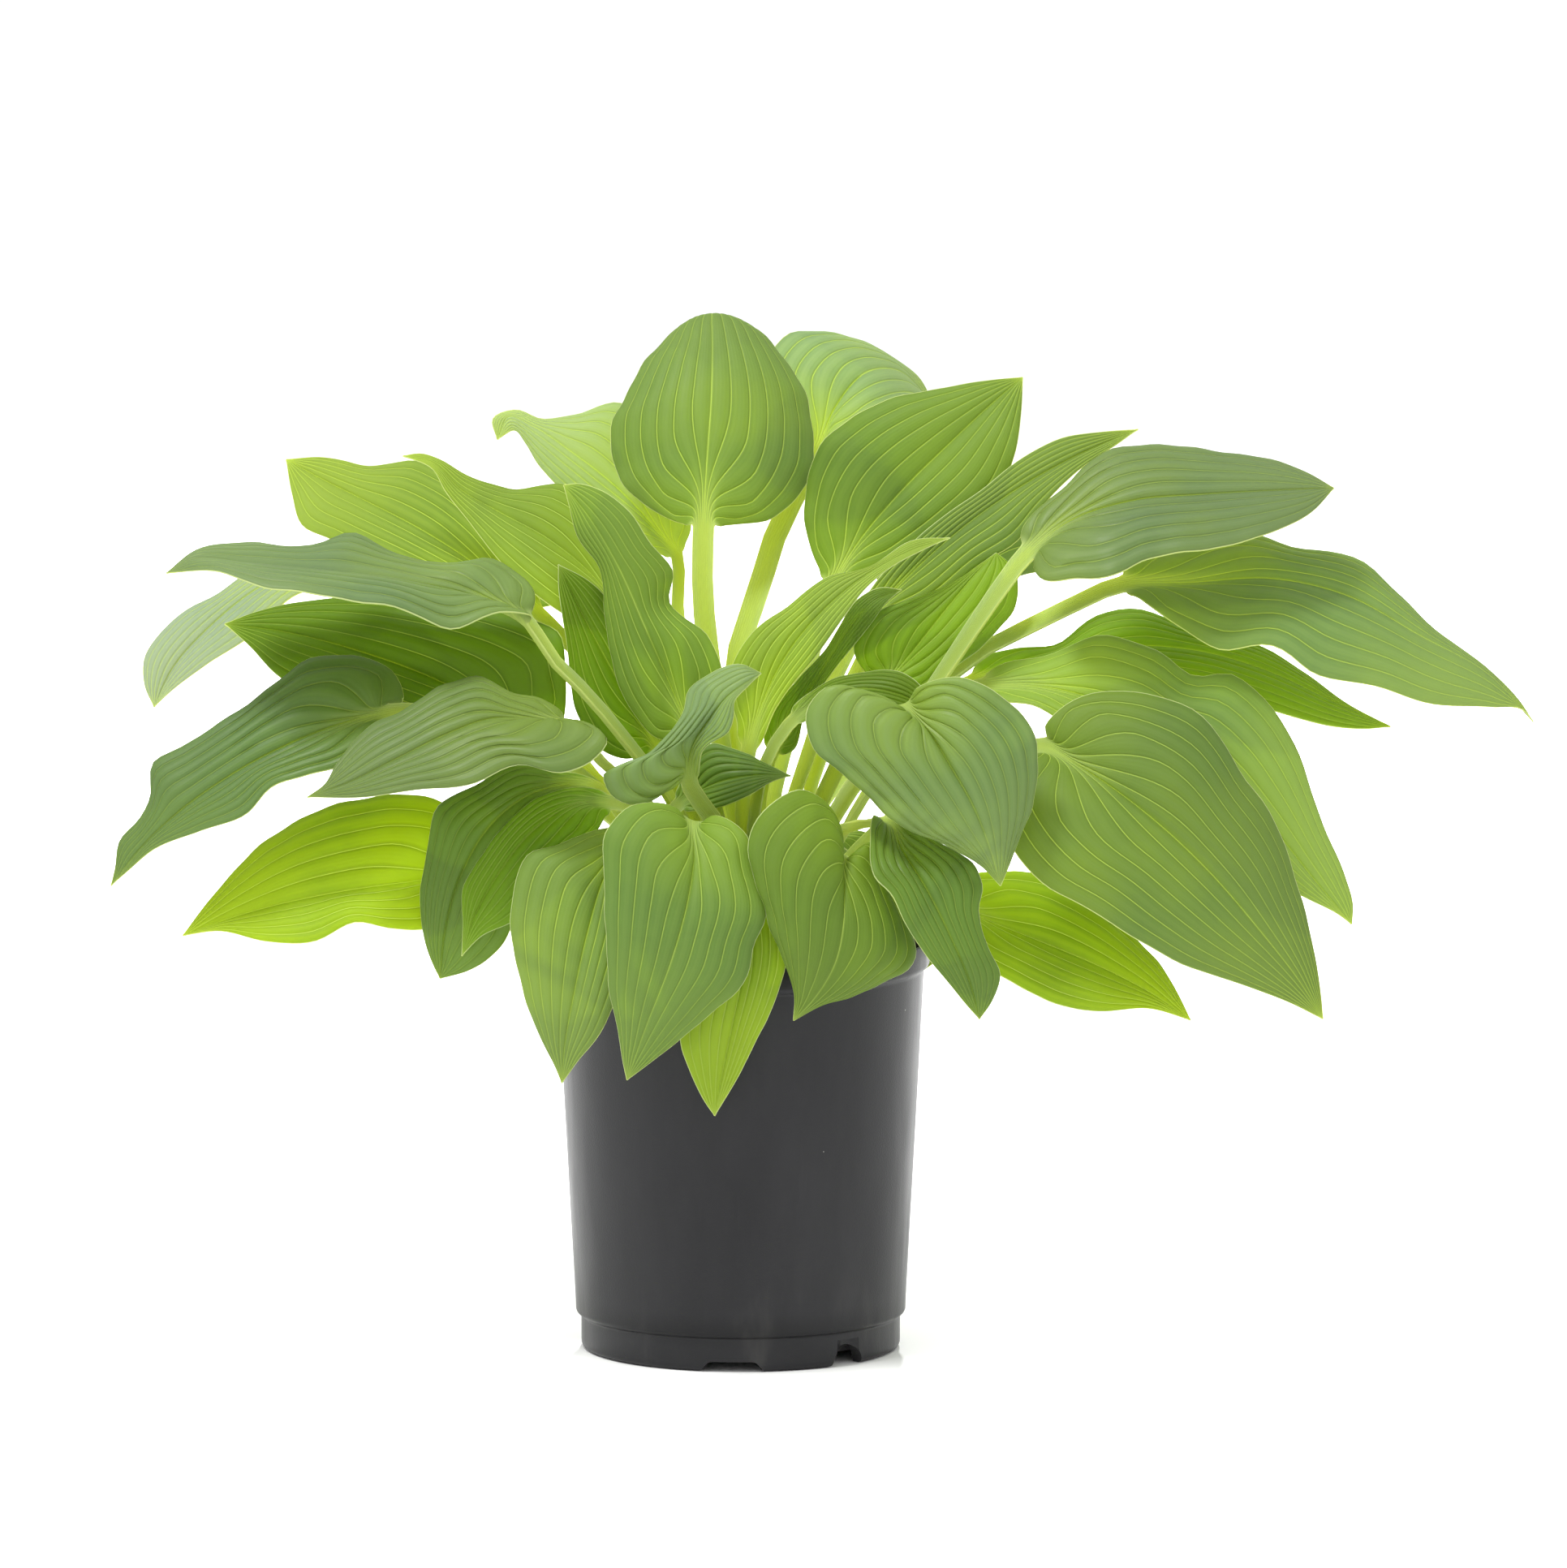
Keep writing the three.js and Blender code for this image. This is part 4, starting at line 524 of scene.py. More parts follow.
    left=[[58, 339, 10], [66, 361, 16], [88, 377, 18], [116, 378, 14], [140, 362, 6]],
    right=[[92, 325, -12], [122, 339, -20], [148, 343, -14]],
)]


# Curves and small mathematics

def ease(x, start, end):
    """Rises smoothly from 0 at the start to 1 at the end."""
    u = np.clip((x - start) / (end - start), 0, 1)
    return u * u * (3 - 2 * u)


def lerp(a, b, t):
    return a + (b - a) * t


def lengths(vectors):
    return np.linalg.norm(vectors, axis=-1, keepdims=True)


def unit(vectors, fallback=0):
    length = lengths(vectors)
    return np.where(length > 1e-9, vectors / np.maximum(length, 1e-9), fallback)


def circle(radius, height, count):
    """Points of a level ring about the Z axis."""
    a = 2 * np.pi * np.arange(count) / count
    return np.stack([radius * np.cos(a), radius * np.sin(a), height + 0 * a], axis=-1)


def sight(points):
    """Points in space of points of the picture."""
    rise = points[..., 1] - PICTURE["up"]
    grown = 1 + PICTURE["taper"] * rise
    seen = np.stack([
        PICTURE["across"] + (points[..., 0] - PICTURE["across"]) * grown,
        np.zeros_like(rise),
        PICTURE["up"] + rise * grown * PICTURE["stretch"],
    ], axis=-1)
    reach = (points[..., 2] - VIEW_POINT[1]) / -VIEW_POINT[1]
    return VIEW_POINT + (seen - VIEW_POINT) * reach[..., None]


def unsight(point):
    """The picture's coordinates of a point in space."""
    reach = -VIEW_POINT[1] / (point[1] - VIEW_POINT[1])
    across, _, up = VIEW_POINT + (np.array(point) - VIEW_POINT) * reach
    taper = PICTURE["taper"]
    rise = (up - PICTURE["up"]) / PICTURE["stretch"]
    height = (math.sqrt(1 + 4 * taper * rise) - 1) / (2 * taper)
    return [PICTURE["across"] + (across - PICTURE["across"]) / (1 + taper * height),
            PICTURE["up"] + height, point[1]]


class Curve:
    """Smooth curve through points, with the distance along its chords as parameter."""

    def __init__(self, points):
        self.points = np.array(points, float)
        steps = np.diff(self.points, axis=0)
        h = lengths(steps)
        self.knots = np.concatenate([[0], np.cumsum(h)])
        self.length = self.knots[-1]
        slopes = steps / h
        inner = (slopes[:-1] * h[1:] + slopes[1:] * h[:-1]) / (h[:-1] + h[1:])
        self.tangents = np.concatenate([slopes[:1], inner, slopes[-1:]])

    def at(self, distance):
        i = np.searchsorted(self.knots[1:-1], distance)
        h = (self.knots[i + 1] - self.knots[i])[:, None]
        u = (distance - self.knots[i])[:, None] / h
        return ((1 + 2 * u) * (1 - u) ** 2 * self.points[i]
                + u * (1 - u) ** 2 * h * self.tangents[i]
                + u * u * (3 - 2 * u) * self.points[i + 1]
                + u * u * (u - 1) * h * self.tangents[i + 1])


# Meshes

def link(name, data):
    obj = bpy.data.objects.new(name, data)
    bpy.context.collection.objects.link(obj)
    return obj


def shade_smooth(mesh, angle):
    mesh.polygons.foreach_set("use_smooth", [True] * len(mesh.polygons))
    mesh.set_sharp_from_angle(angle=math.radians(angle))


def add_mesh(name, positions, faces, materials=(), angle=180):
    """Adds a mesh of positions in millimetres, shaded smoothly up to an angle of its edges."""
    mesh = bpy.data.meshes.new(name)
    mesh.from_pydata((np.asarray(positions) * MM).tolist(), [], faces)
    for material in materials:
        mesh.materials.append(material)
    shade_smooth(mesh, angle)
    return link(name, mesh)


def add_map(mesh, name, first, second):
    """UV map of two values for each vertex, repeated for the lower side of a leaf."""
    pairs = np.stack(np.broadcast_arrays(first, second), -1).astype(np.float32)
    pairs = np.resize(pairs, (len(mesh.vertices), 2))
    corners = np.empty(len(mesh.loops), dtype=np.int32)
    mesh.loops.foreach_get("vertex_index", corners)
    mesh.uv_layers.new(name=name).data.foreach_set("uv", pairs[corners].ravel())


def quads(grid):
    """Faces of a grid of vertex numbers."""
    corners = [grid[:-1, :-1], grid[:-1, 1:], grid[1:, 1:], grid[1:, :-1]]
    return np.stack(corners, axis=-1).reshape(-1, 4).tolist()


def ring_grid(rings, sides, start=0):
    """Vertex numbers of closed rings, a row each."""
    grid = start + np.arange(rings * sides).reshape(rings, sides)
    return np.hstack([grid, grid[:, :1]])


def stack_faces(rings, sides, start=0):
    """Faces of a closed solid of rings that lie on one another."""
    grid = ring_grid(rings, sides, start)
    return quads(grid) + [grid[0, -2::-1].tolist(), grid[-1, :-1].tolist()]


# Materials

def linear(tone):
    """Linear colour of a #rrggbb tone."""
    channels = [int(tone[i:i + 2], 16) / 255 for i in (1, 3, 5)]
    return [c / 12.92 if c <= 0.04045 else ((c + 0.055) / 1.055) ** 2.4 for c in channels] + [1]


def shade(tone, factor, towards=(1, 1, 1)):
    """A tone made lighter or darker and tinted."""
    return [min(c * factor * t, 1) for c, t in zip(linear(tone), towards)] + [1]


class Nodes:
    """Short ways to build a material's nodes."""

    def __init__(self, name):
        self.material = bpy.data.materials.new(name)
        self.material.use_nodes = True
        self.tree = self.material.node_tree
        self.tree.nodes.clear()

    def add(self, kind, inputs=None, **settings):
        node = self.tree.nodes.new(kind)
        for key, value in settings.items():
            setattr(node, key, value)
        for key, value in (inputs or {}).items():
            if isinstance(value, bpy.types.NodeSocket):
                self.tree.links.new(value, node.inputs[key])
            else:
                node.inputs[key].default_value = value
        return node

    def math(self, operation, *values):
        return self.add("ShaderNodeMath", dict(enumerate(values)), operation=operation).outputs[0]

    def times(self, a, b):
        return self.math("MULTIPLY", a, b)

    def total(self, *parts):
        """Sum of values, each multiplied by its share."""
        result = 0
        for value, share in parts:
            result = self.math("MULTIPLY_ADD", value, share, result)
        return result

    def ramp(self, value, low, high, start=0, end=1):
        inputs = {"Value": value, "From Min": low, "From Max": high, "To Min": start, "To Max": end}
        node = self.add("ShaderNodeMapRange", inputs, interpolation_type="SMOOTHSTEP")
        return node.outputs[0]

    def mix(self, factor, a, b, blend="MIX"):
        inputs = {0: factor, 6: a, 7: b}
        return self.add("ShaderNodeMix", inputs, data_type="RGBA", blend_type=blend).outputs[2]

    def paint(self, colour, *layers):
        """Lays colours over one another, each by its factor."""
        for factor, over in layers:
            colour = self.mix(factor, colour, over)
        return colour

    def place(self):
        return self.add("ShaderNodeTexCoord").outputs["Object"]

    def parts(self, vector):
        return self.add("ShaderNodeSeparateXYZ", {0: vector}).outputs

    def noise(self, scale, detail=2, stretch=1, roughness=0.5):
        """Noise in space. A stretch under 1 draws it out along Z."""
        inputs = {"Vector": self.place(), "Scale": (1, 1, stretch)}
        place = self.add("ShaderNodeMapping", inputs).outputs[0]
        inputs = {"Vector": place, "Scale": scale, "Detail": detail, "Roughness": roughness}
        return self.add("ShaderNodeTexNoise", inputs).outputs[0]

    def bump(self, distance, *parts):
        inputs = {"Height": self.total(*parts), "Distance": distance}
        return self.add("ShaderNodeBump", inputs).outputs[0]

    def surface(self, colour, rough, normal=None, shine=0.5):
        inputs = {"Base Color": colour, "Roughness": rough, "Specular IOR Level": shine}
        if normal is not None:
            inputs["Normal"] = normal
        return self.add("ShaderNodeBsdfPrincipled", inputs).outputs[0]

    def finish(self, shader):
        self.add("ShaderNodeOutputMaterial", {"Surface": shader})
        return self.material


class LeafNodes(Nodes):
    """Nodes of a leaf with the values that its maps hold: the place along it, the part of the
    way to the margin, the fold between veins, distances in millimetres and the tint."""

    def __init__(self, name):
        super().__init__(name)
        vein, scale, look = [self.map_values(key) for key in ("vein", "scale", "look")]
        order = self.math("ABSOLUTE", self.math("SUBTRACT", vein[0], 0.5))
        order = self.times(order, MAP_SPAN)
        spacing = self.times(scale[0], MAP_SPAN)
        self.along = self.times(vein[1], 2)
        self.part = scale[1]
        self.fold = self.math("PINGPONG", order, 0.5)
        self.from_vein = self.times(self.fold, spacing)
        self.from_rib = self.times(order, spacing)
        self.to_margin = self.times(self.math("SUBTRACT", 1, self.part), spacing)
        self.threads = self.math("PINGPONG", self.times(order, 5), 0.5)
        self.blade = self.ramp(self.along, 0.99, 1.05)
        self.mottle = self.noise(70, 3, roughness=0.6)
        # The tint from the leaf's look is partly painted light and shade.
        light, pale = look[0], look[1]
        red = self.times(light, self.math("POWER", self.math("MAXIMUM", pale, 1), 0.1))
        inputs = {0: red, 1: light, 2: self.times(light, pale)}
        self.tint = self.add("ShaderNodeCombineColor", inputs).outputs[0]

    def map_values(self, name):
        return self.parts(self.add("ShaderNodeUVMap", uv_map=name).outputs[0])


def blade_colour(n, tone):
    """Patches and threads, painted shade in the grooves along the veins and painted light on the
    ridges between, a young base and an old tip, pale veins and a pale margin.
    """
    own, painted_fold_shading, vein = tone["colour"], tone["painted_fold_shading"], tone["vein"]
    warm = shade(own, 1.15, (1.1, 1.04, 0.6))
    cool = shade(own, 0.84, (0.88, 0.98, 1.1))
    ground = n.paint(
        n.mix(n.ramp(n.noise(14), 0.37, 0.65), cool, warm),
        (0.22, linear(own)),
        (n.ramp(n.mottle, 0.3, 0.75, 0, 0.3), shade(own, 1.18)),
        (n.ramp(n.threads, 0, 0.5, 0.1, 0), shade(own, 1.3)),
        (n.ramp(n.from_vein, 0.2, 1.6, 0.2, 0), warm),
        # Painted shade darkens the grooves along the veins and painted light lightens the ridges
        # between.
        (n.ramp(n.fold, 0.02, 0.2, painted_fold_shading, 0), shade(own, 0.7, (0.95, 1, 0.8))),
        (n.ramp(n.fold, 0.2, 0.5, 0, painted_fold_shading), shade(own, 1.15, (1.04, 1, 1.2))),
        (n.ramp(n.along, 1, 1.5, 0.6, 0), shade(own, 1.35, (1.18, 1.1, 0.5))),
        (n.ramp(n.along, 1.35, 1.9, 0, 0.9), shade(own, 1.08, (1.05, 1, 1.12))),
    )
    tip = n.ramp(n.along, 1.2, 1.95)
    line = n.times(n.ramp(n.from_vein, 0.07, 0.36, 1, 0), n.ramp(tip, 0, 1, vein, vein / 2))
    midrib = n.times(n.ramp(n.from_rib, 0.15, 1, 1, 0), n.ramp(tip, 0, 1, 0.32, 0.08))
    fan = n.times(n.ramp(n.along, 1, 1.28, 0.5, 0), n.ramp(n.from_rib, 2, 16, 1, 0))
    margin = n.times(n.ramp(n.to_margin, 0.03, 0.1, 0.8, 0), n.blade)
    # The leaf's tint, partly painted light and shade, multiplies the ground.
    return n.paint(
        n.mix(1, ground, n.tint, "MULTIPLY"),
        (line, linear(VEIN_TONE)),
        (midrib, linear(VEIN_TONE)),
        (fan, linear(PETIOLE_TONE)),
        (margin, linear(EDGE_TONE)),
    )


def petiole_colour(n):
    return n.paint(
        linear(PETIOLE_TONE),
        (n.ramp(n.part, 0.3, 0.75, 0.6, 0), shade(PETIOLE_TONE, 0.95, (1, 1, 0.5))),
        (n.ramp(n.threads, 0.1, 0.4, 0, 0.35), shade(PETIOLE_TONE, 0.8, (0.9, 1, 0.7))),
        (n.ramp(n.part, 0.86, 0.97, 0, 0.6), linear(EDGE_TONE)),
    )


def leaf_material(name, lower):
    """Blade, veins and petiole of one tone, for the upper or the lower face."""
    n = LeafNodes(f"leaf_{name}_{'lower' if lower else 'upper'}")
    tone = TONES[name]
    colour = n.mix(n.blade, petiole_colour(n), blade_colour(n, tone))
    vein_lift = -0.9
    if lower:
        tone = UNDERSIDE
        colour = n.mix(tone["cover"], colour, linear(tone["colour"]))
        vein_lift = 0.9
    veins = n.ramp(n.from_vein, 0, 0.9, vein_lift, 0)
    normal = n.bump(0.0003, (n.noise(900), 0.16), (veins, 1), (n.threads, 0.25), (n.mottle, 0.5))
    rough = n.ramp(n.mottle, 0.3, 0.7, tone["rough"], tone["rough"] + 0.1)
    surface = n.surface(colour, rough, normal, tone["shine"])
    glow = {"Color": n.mix(1, colour, GLOW_GAIN, "MULTIPLY"), "Normal": normal}
    through = n.add("ShaderNodeBsdfTranslucent", glow).outputs[0]
    return n.finish(n.add("ShaderNodeMixShader", {0: GLOW_PART, 1: surface, 2: through}).outputs[0])


def pot_material():
    """Satin dark plastic with fine grain, a few specks, dust low down and painted shade in the
    crease above the foot.
    """
    n = Nodes("pot_plastic")
    level = n.parts(n.place())[2]
    streaks = n.noise(28, 4, 0.35, 0.65)
    scuffs = n.noise(140, 3, 0.12, 0.6)
    cells = n.add("ShaderNodeTexVoronoi", {"Vector": n.place(), "Scale": 55}).outputs
    chosen = n.ramp(n.parts(cells["Color"])[0], 0.9, 0.91)
    # Painted shade in the crease above the foot: darkest just above it, fading out upwards.
    corner = n.times(n.ramp(level, 0.0143, 0.0145), n.ramp(level, 0.017, 0.027, 0.6, 0))
    dust = n.times(n.ramp(level, 0.004, 0.05, 0.3, 0), n.ramp(streaks, 0.5, 0.78))
    specks = n.times(n.ramp(cells["Distance"], 0.012, 0.02, 0.7, 0), chosen)
    colour = n.paint(
        linear("#202022"),
        (n.ramp(streaks, 0.3, 0.8), linear("#262628")),
        (n.ramp(scuffs, 0.62, 0.8, 0, 0.25), linear("#303032")),
        # painted shade in the crease above the foot
        (corner, linear("#0e0e0f")),
        (dust, linear("#55534f")),
        (specks, linear("#b8b6b0")),
    )
    normal = n.bump(0.00006, (n.noise(1400), 1), (streaks, 1.5))
    return n.finish(n.surface(colour, n.ramp(scuffs, 0.3, 0.8, 0.3, 0.4), normal, 0.22))


def soil_material(name, low, high):
    """Bark compost: crumbs of two browns, rough, and near black below its surface inside the pot,
    which is painted shade.
    """
    n = Nodes(name)
    lumps = n.noise(120, 5, roughness=0.7)
    flecks = n.noise(600, 3)
    colour = n.paint(
        linear(low),
        (n.ramp(lumps, 0.35, 0.65), linear(high)),
        (n.ramp(flecks, 0.6, 0.75, 0, 0.4), linear("#8d7152")),
        # Painted shade: near black lower down, where the compost's side lies inside the pot.
        (n.ramp(n.parts(n.place())[2], 0.12, 0.15, 1, 0), linear("#0b0908")),
    )
    normal = n.bump(0.0015, (lumps, 1), (flecks, 0.4))
    return n.finish(n.surface(colour, n.ramp(flecks, 0.3, 0.7, 0.8, 0.95), normal))


def floor_material():
    """Plain pale floor."""
    n = Nodes("floor_pale")
    return n.finish(n.surface(n.mix(n.noise(3), linear("#fafaf9"), linear("#fdfdfd")), 0.9))


# Leaves

def root_place(leaf):
    ring, azimuth = leaf["root"]
    a = math.radians(azimuth)
    return CROWN[0] + ring * math.cos(a), CROWN[1] + ring * math.sin(a)


class LeafForm:
    """Midrib, margins and frame of a leaf. along runs from 0 at the foot of the petiole over 1
    at the base of the blade to 2 at its tip."""

    def __init__(self, leaf):
        foot = [unsight((*root_place(leaf), z)) for z in (ROOT_BOTTOM, ROOT_TOP)]
        petiole = foot + leaf.get("stem", [])
        start, tip = leaf["rib"][0], leaf["rib"][-1]
        self.leaf = leaf
        self.spine = Curve(petiole + leaf["rib"])
        self.base_at = self.spine.knots[len(petiole)]
        self.margins = [Curve([[*start[:2], 0]] + leaf[edge] + [[*tip[:2], 0]])
                        for edge in ("left", "right")]
        a = math.radians(leaf["root"][1])
        self.foot_side = np.array([math.sin(a), -math.cos(a), 0.0])
        if self.foot_side @ self.blade_side(np.zeros(1))[0] < 0:
            self.foot_side = -self.foot_side

    def spine_at(self, along):
        blade = self.base_at + (self.spine.length - self.base_at) * (along - 1)
        return self.spine.at(np.where(along < 1, self.base_at * along, blade))

    def rib(self, along):
        return sight(self.spine_at(along))

    def forward(self, along):
        ahead = self.rib(np.minimum(along + SMALL_STEP, 2))
        return unit(ahead - self.rib(np.maximum(along - SMALL_STEP, 0)))

    def margin(self, side, t):
        curve = self.margins[side]
        seen = curve.at(curve.length * t)
        spine = self.spine_at(1 + t)
        lean = self.leaf.get("lean", 0) * (seen[:, 1] - spine[:, 1])
        depth = spine[:, 2] + seen[:, 2] + lean
        return sight(np.stack([seen[:, 0], seen[:, 1], depth], axis=-1))

    def blade_side(self, t):
        inner = np.clip(t, *WIDE_BLADE)
        return unit(self.margin(1, inner) - self.margin(0, inner))

    def sideways(self, along):
        """Direction to the right, square to the midrib. It turns up the petiole."""
        forward = self.forward(along)
        side = lerp(self.foot_side, self.blade_side(along - 1), ease(along, 0, 1)[:, None])
        return unit(side - forward * np.sum(side * forward, axis=-1, keepdims=True))

    def stem_half(self, along):
        """Half the width of the petiole, which narrows into the midrib."""
        half = self.leaf["petiole"] * (1 - ease(along, 1, RIB_END)) + SIDE_RIM
        half = lerp(half, TIP_HALF_WIDTH, ease(along, *THIN_RIB))
        return lerp(ROOT_RADIUS, half, ease(along, ROUND_TO, WIDE_FROM))

    def vein_count(self):
        t = np.linspace(0.1, 0.9, 17)
        half = lengths(self.margin(1, t) - self.margin(0, t)).max() / 2
        return int(np.clip(round(half / VEIN_SPACING), FEWEST_VEINS, MOST_VEINS))


def leaf_rows():
    petiole = np.linspace(0, LAST_PETIOLE_ROW, PETIOLE_ROWS)
    x = np.linspace(0, 1, BLADE_ROWS)
    blade = BLADE_REACH * lerp(x, (1 - np.cos(np.pi * x)) / 2, ROW_CROWDING)
    return np.concatenate([petiole, 1 + blade])


def channel_rise(a, v):
    """Upper side of the petiole: a round back at its foot that turns into a channel."""
    grown = ease(a, ROUND_TO, CHANNEL_FROM)
    channel = grown * (1 - ease(a, 1, CHANNEL_END))
    back = (1 - grown) * ROOT_BULGE * (1 - v ** 2)
    return back + channel * (CHANNEL_LIFT + CHANNEL_DEPTH * v ** 2)


def midrib_groove(a, from_rib):
    shallow = ease(a, 1, RELIEF_FROM) * (1 - ease(a, *GROOVE_END))
    return MIDRIB_GROOVE * shallow * np.exp(-(from_rib / GROOVE_REACH) ** 2)


def pucker_lift(tone, a, spacing, order):
    """Ridges between the veins."""
    height = TONES[tone]["pucker"] * np.minimum(PUCKER * spacing, PUCKER_MOST)
    height = height * ease(a, 1, RELIEF_FROM) * lerp(*PUCKER_FADE, ease(a, 1, 2))
    return height * (np.abs(np.sin(np.pi * order)) ** PUCKER_SHARPNESS - PUCKER_SINK)


def ripple_lift(azimuth, a, v, q, width):
    """Ripples that grow towards the margin and fade towards both ends of the blade."""
    phase = azimuth * RIPPLE_TURN
    (long, high), (short, low) = RIPPLES
    ripple = high * np.sin(2 * np.pi * long * (a - 1) + phase + np.sign(v) * RIPPLE_SHIFT)
    ripple = ripple + low * np.sin(2 * np.pi * short * (a - 1) + 2 * phase)
    fade = ease(a, *RIPPLES_START) * (1 - ease(a, *RIPPLES_END))
    return RUFFLE * q ** 3 * ripple * fade * np.minimum(width / RUFFLED_WIDTH, 1)


def leaf_surface(form, along, across, veins):
    """Upper side of the leaf: points and normals, the distance from the midrib and the spacing
    of the veins. across runs from -1 at the left margin to 1 at the right one."""
    rib = form.rib(along)[:, None]
    ahead = form.forward(along)[:, None]
    side = form.sideways(along)[:, None]
    up = np.cross(side, ahead)
    half = form.stem_half(along)[:, None, None]
    a = along[:, None, None]
    v = across[None, :, None]
    part = np.abs(v)

    edges = [form.margin(k, np.clip(along - 1, 0, 1))[:, None] for k in (0, 1)]
    reach = np.where(v < 0, *edges) - rib
    width = lengths(reach)
    reach = reach - np.sign(v) * side * half * ease(width, 0, 3 * half)
    span = np.maximum(lengths(reach), 1e-6)
    hug_end = 1 + HUG_SHORTEST + HUG_END * (1 - part)
    q = part * lerp(HUG_LEAST, 1, ease(a, 1, hug_end))
    face = unit(np.where(v < 0, np.cross(ahead, reach), np.cross(reach, ahead)), up)
    blade = reach * q + face * (CAMBER * span * 4 * q * (1 - q))
    from_rib = half * part + np.where(a > 1, span * q, 0)
    points = rib + side * half * v + up * channel_rise(a, v)
    points = points + np.where(a > 1, blade, 0) - up * midrib_groove(a, from_rib)

    down = np.gradient(points, axis=0)
    over = np.gradient(points, axis=1)
    ups = np.broadcast_to(up, points.shape)
    normals = unit(np.cross(over, down), ups)
    normals = unit(lerp(ups, normals, ease(a, 1, UPRIGHT_TO)))
    spacing = lengths(over) * COLUMNS_PER_VEIN
    lift = pucker_lift(form.leaf["tone"], a, spacing, part * veins)
    lift = lift + ripple_lift(form.leaf["root"][1], a, v, q, width)
    return points + normals * lift, normals, from_rib, spacing[..., 0]


def leaf_faces(rows, columns):
    """Faces of the upper side, of the lower side and of the edge between them."""
    upper = np.arange(rows * columns).reshape(rows, columns)
    lower = upper + rows * columns
    edges = [
        np.stack([upper[:, 0], lower[:, 0]]),
        np.stack([upper[:, -1], lower[:, -1]], axis=1),
        np.stack([upper[0], lower[0]], axis=1),
        np.stack([upper[-1], lower[-1]]),
    ]
    return quads(upper), quads(lower.T), sum([quads(grid) for grid in edges], [])


def add_leaf(leaf, materials):
    form = LeafForm(leaf)
    veins = form.vein_count()
    along = leaf_rows()
    across = np.linspace(-1, 1, 2 * veins * COLUMNS_PER_VEIN + 1)
    points, normals, from_rib, spacing = leaf_surface(form, along, across, veins)
    a = along[:, None, None]
    keel = PETIOLE_DEPTH * (1 - ease(a, 1, KEEL_END))
    keel = keel * np.clip(1 - (from_rib / form.stem_half(a)) ** 2, 0, 1)
    upper = points + normals * BLADE_THICKNESS / 2
    lower = points - normals * (BLADE_THICKNESS / 2 + keel)
    positions = np.concatenate([upper.reshape(-1, 3), lower.reshape(-1, 3)])

    tone = leaf["tone"]
    sides = leaf_faces(len(along), len(across))
    both = [materials[tone, False], materials[tone, True]]
    obj = add_mesh(f"hosta_{leaf['name']}", positions, sum(sides, []), both, angle=50)
    which = np.repeat([0, 1, 0], [len(faces) for faces in sides])
    obj.data.polygons.foreach_set("material_index", which.tolist())
    add_map(obj.data, "vein", 0.5 + across * veins / MAP_SPAN, along[:, None] / 2)
    add_map(obj.data, "scale", np.clip(spacing / MAP_SPAN, 0, 1), np.abs(across))
    add_map(obj.data, "look", *leaf.get("look", PLAIN_LOOK))
    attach(obj, "root")
    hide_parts(leaf["name"])


# Pot

def soften(profile, steps=5):
    """Rounds the corners of a closed profile. The third value of each is the reach of its
    rounding along the sides, of which it takes less than half."""
    corners = np.array(profile, float)[:, :2]
    rounded = []
    for i, corner in enumerate(corners):
        reach = profile[i][2]
        if reach == 0:
            rounded.append(corner)
            continue
        ends = []
        for other in (corners[i - 1], corners[(i + 1) % len(corners)]):
            way = other - corner
            length = np.linalg.norm(way)
            ends.append(corner + way / length * min(reach, length * MOST_OF_SIDE))
        for s in np.arange(steps + 1) / steps:
            rounded.append((1 - s) ** 2 * ends[0] + 2 * s * (1 - s) * corner + s * s * ends[1])
    return rounded


def turned(name, profile, sides, material):
    """Solid of a closed profile of [radius, z] points turned about the Z axis."""
    positions = []
    rows = []
    for r, z in profile:
        ring = circle(r, z, sides if r > 0 else 1)
        rows.append(np.resize(np.arange(len(ring)), sides + 1) + len(positions))
        positions += list(ring)
    faces = [list(dict.fromkeys(face)) for face in quads(np.array(rows + rows[:1]))]
    return add_mesh(name, positions, [face for face in faces if len(face) > 2], [material])


def foot_cutter(outline, azimuth):
    """Prism through the foot wall, of an outline in width and height."""
    a = math.radians(azimuth)
    out = np.array([math.cos(a), math.sin(a), 0])
    aside = np.array([math.sin(a), -math.cos(a), 0])
    positions = [r * out + w * aside + (0, 0, z)
                 for r in (FOOT_OUTER + CUT_MARGIN, FOOT_INNER - CUT_MARGIN) for w, z in outline]
    return add_mesh("cutter", positions, stack_faces(2, len(outline)))


def niche_cutter(azimuth):
    """Upright round hollow in the outer face of the foot ring."""
    a = math.radians(azimuth)
    centre = NICHE["centre"] * np.array([math.cos(a), math.sin(a), 0])
    low = circle(NICHE["radius"], -CUT_MARGIN, NICHE["sides"])
    high = circle(NICHE["radius"] - NICHE["taper"], NICHE["height"], NICHE["sides"])
    return add_mesh("cutter", np.concatenate([low, high]) + centre, stack_faces(2, len(low)))


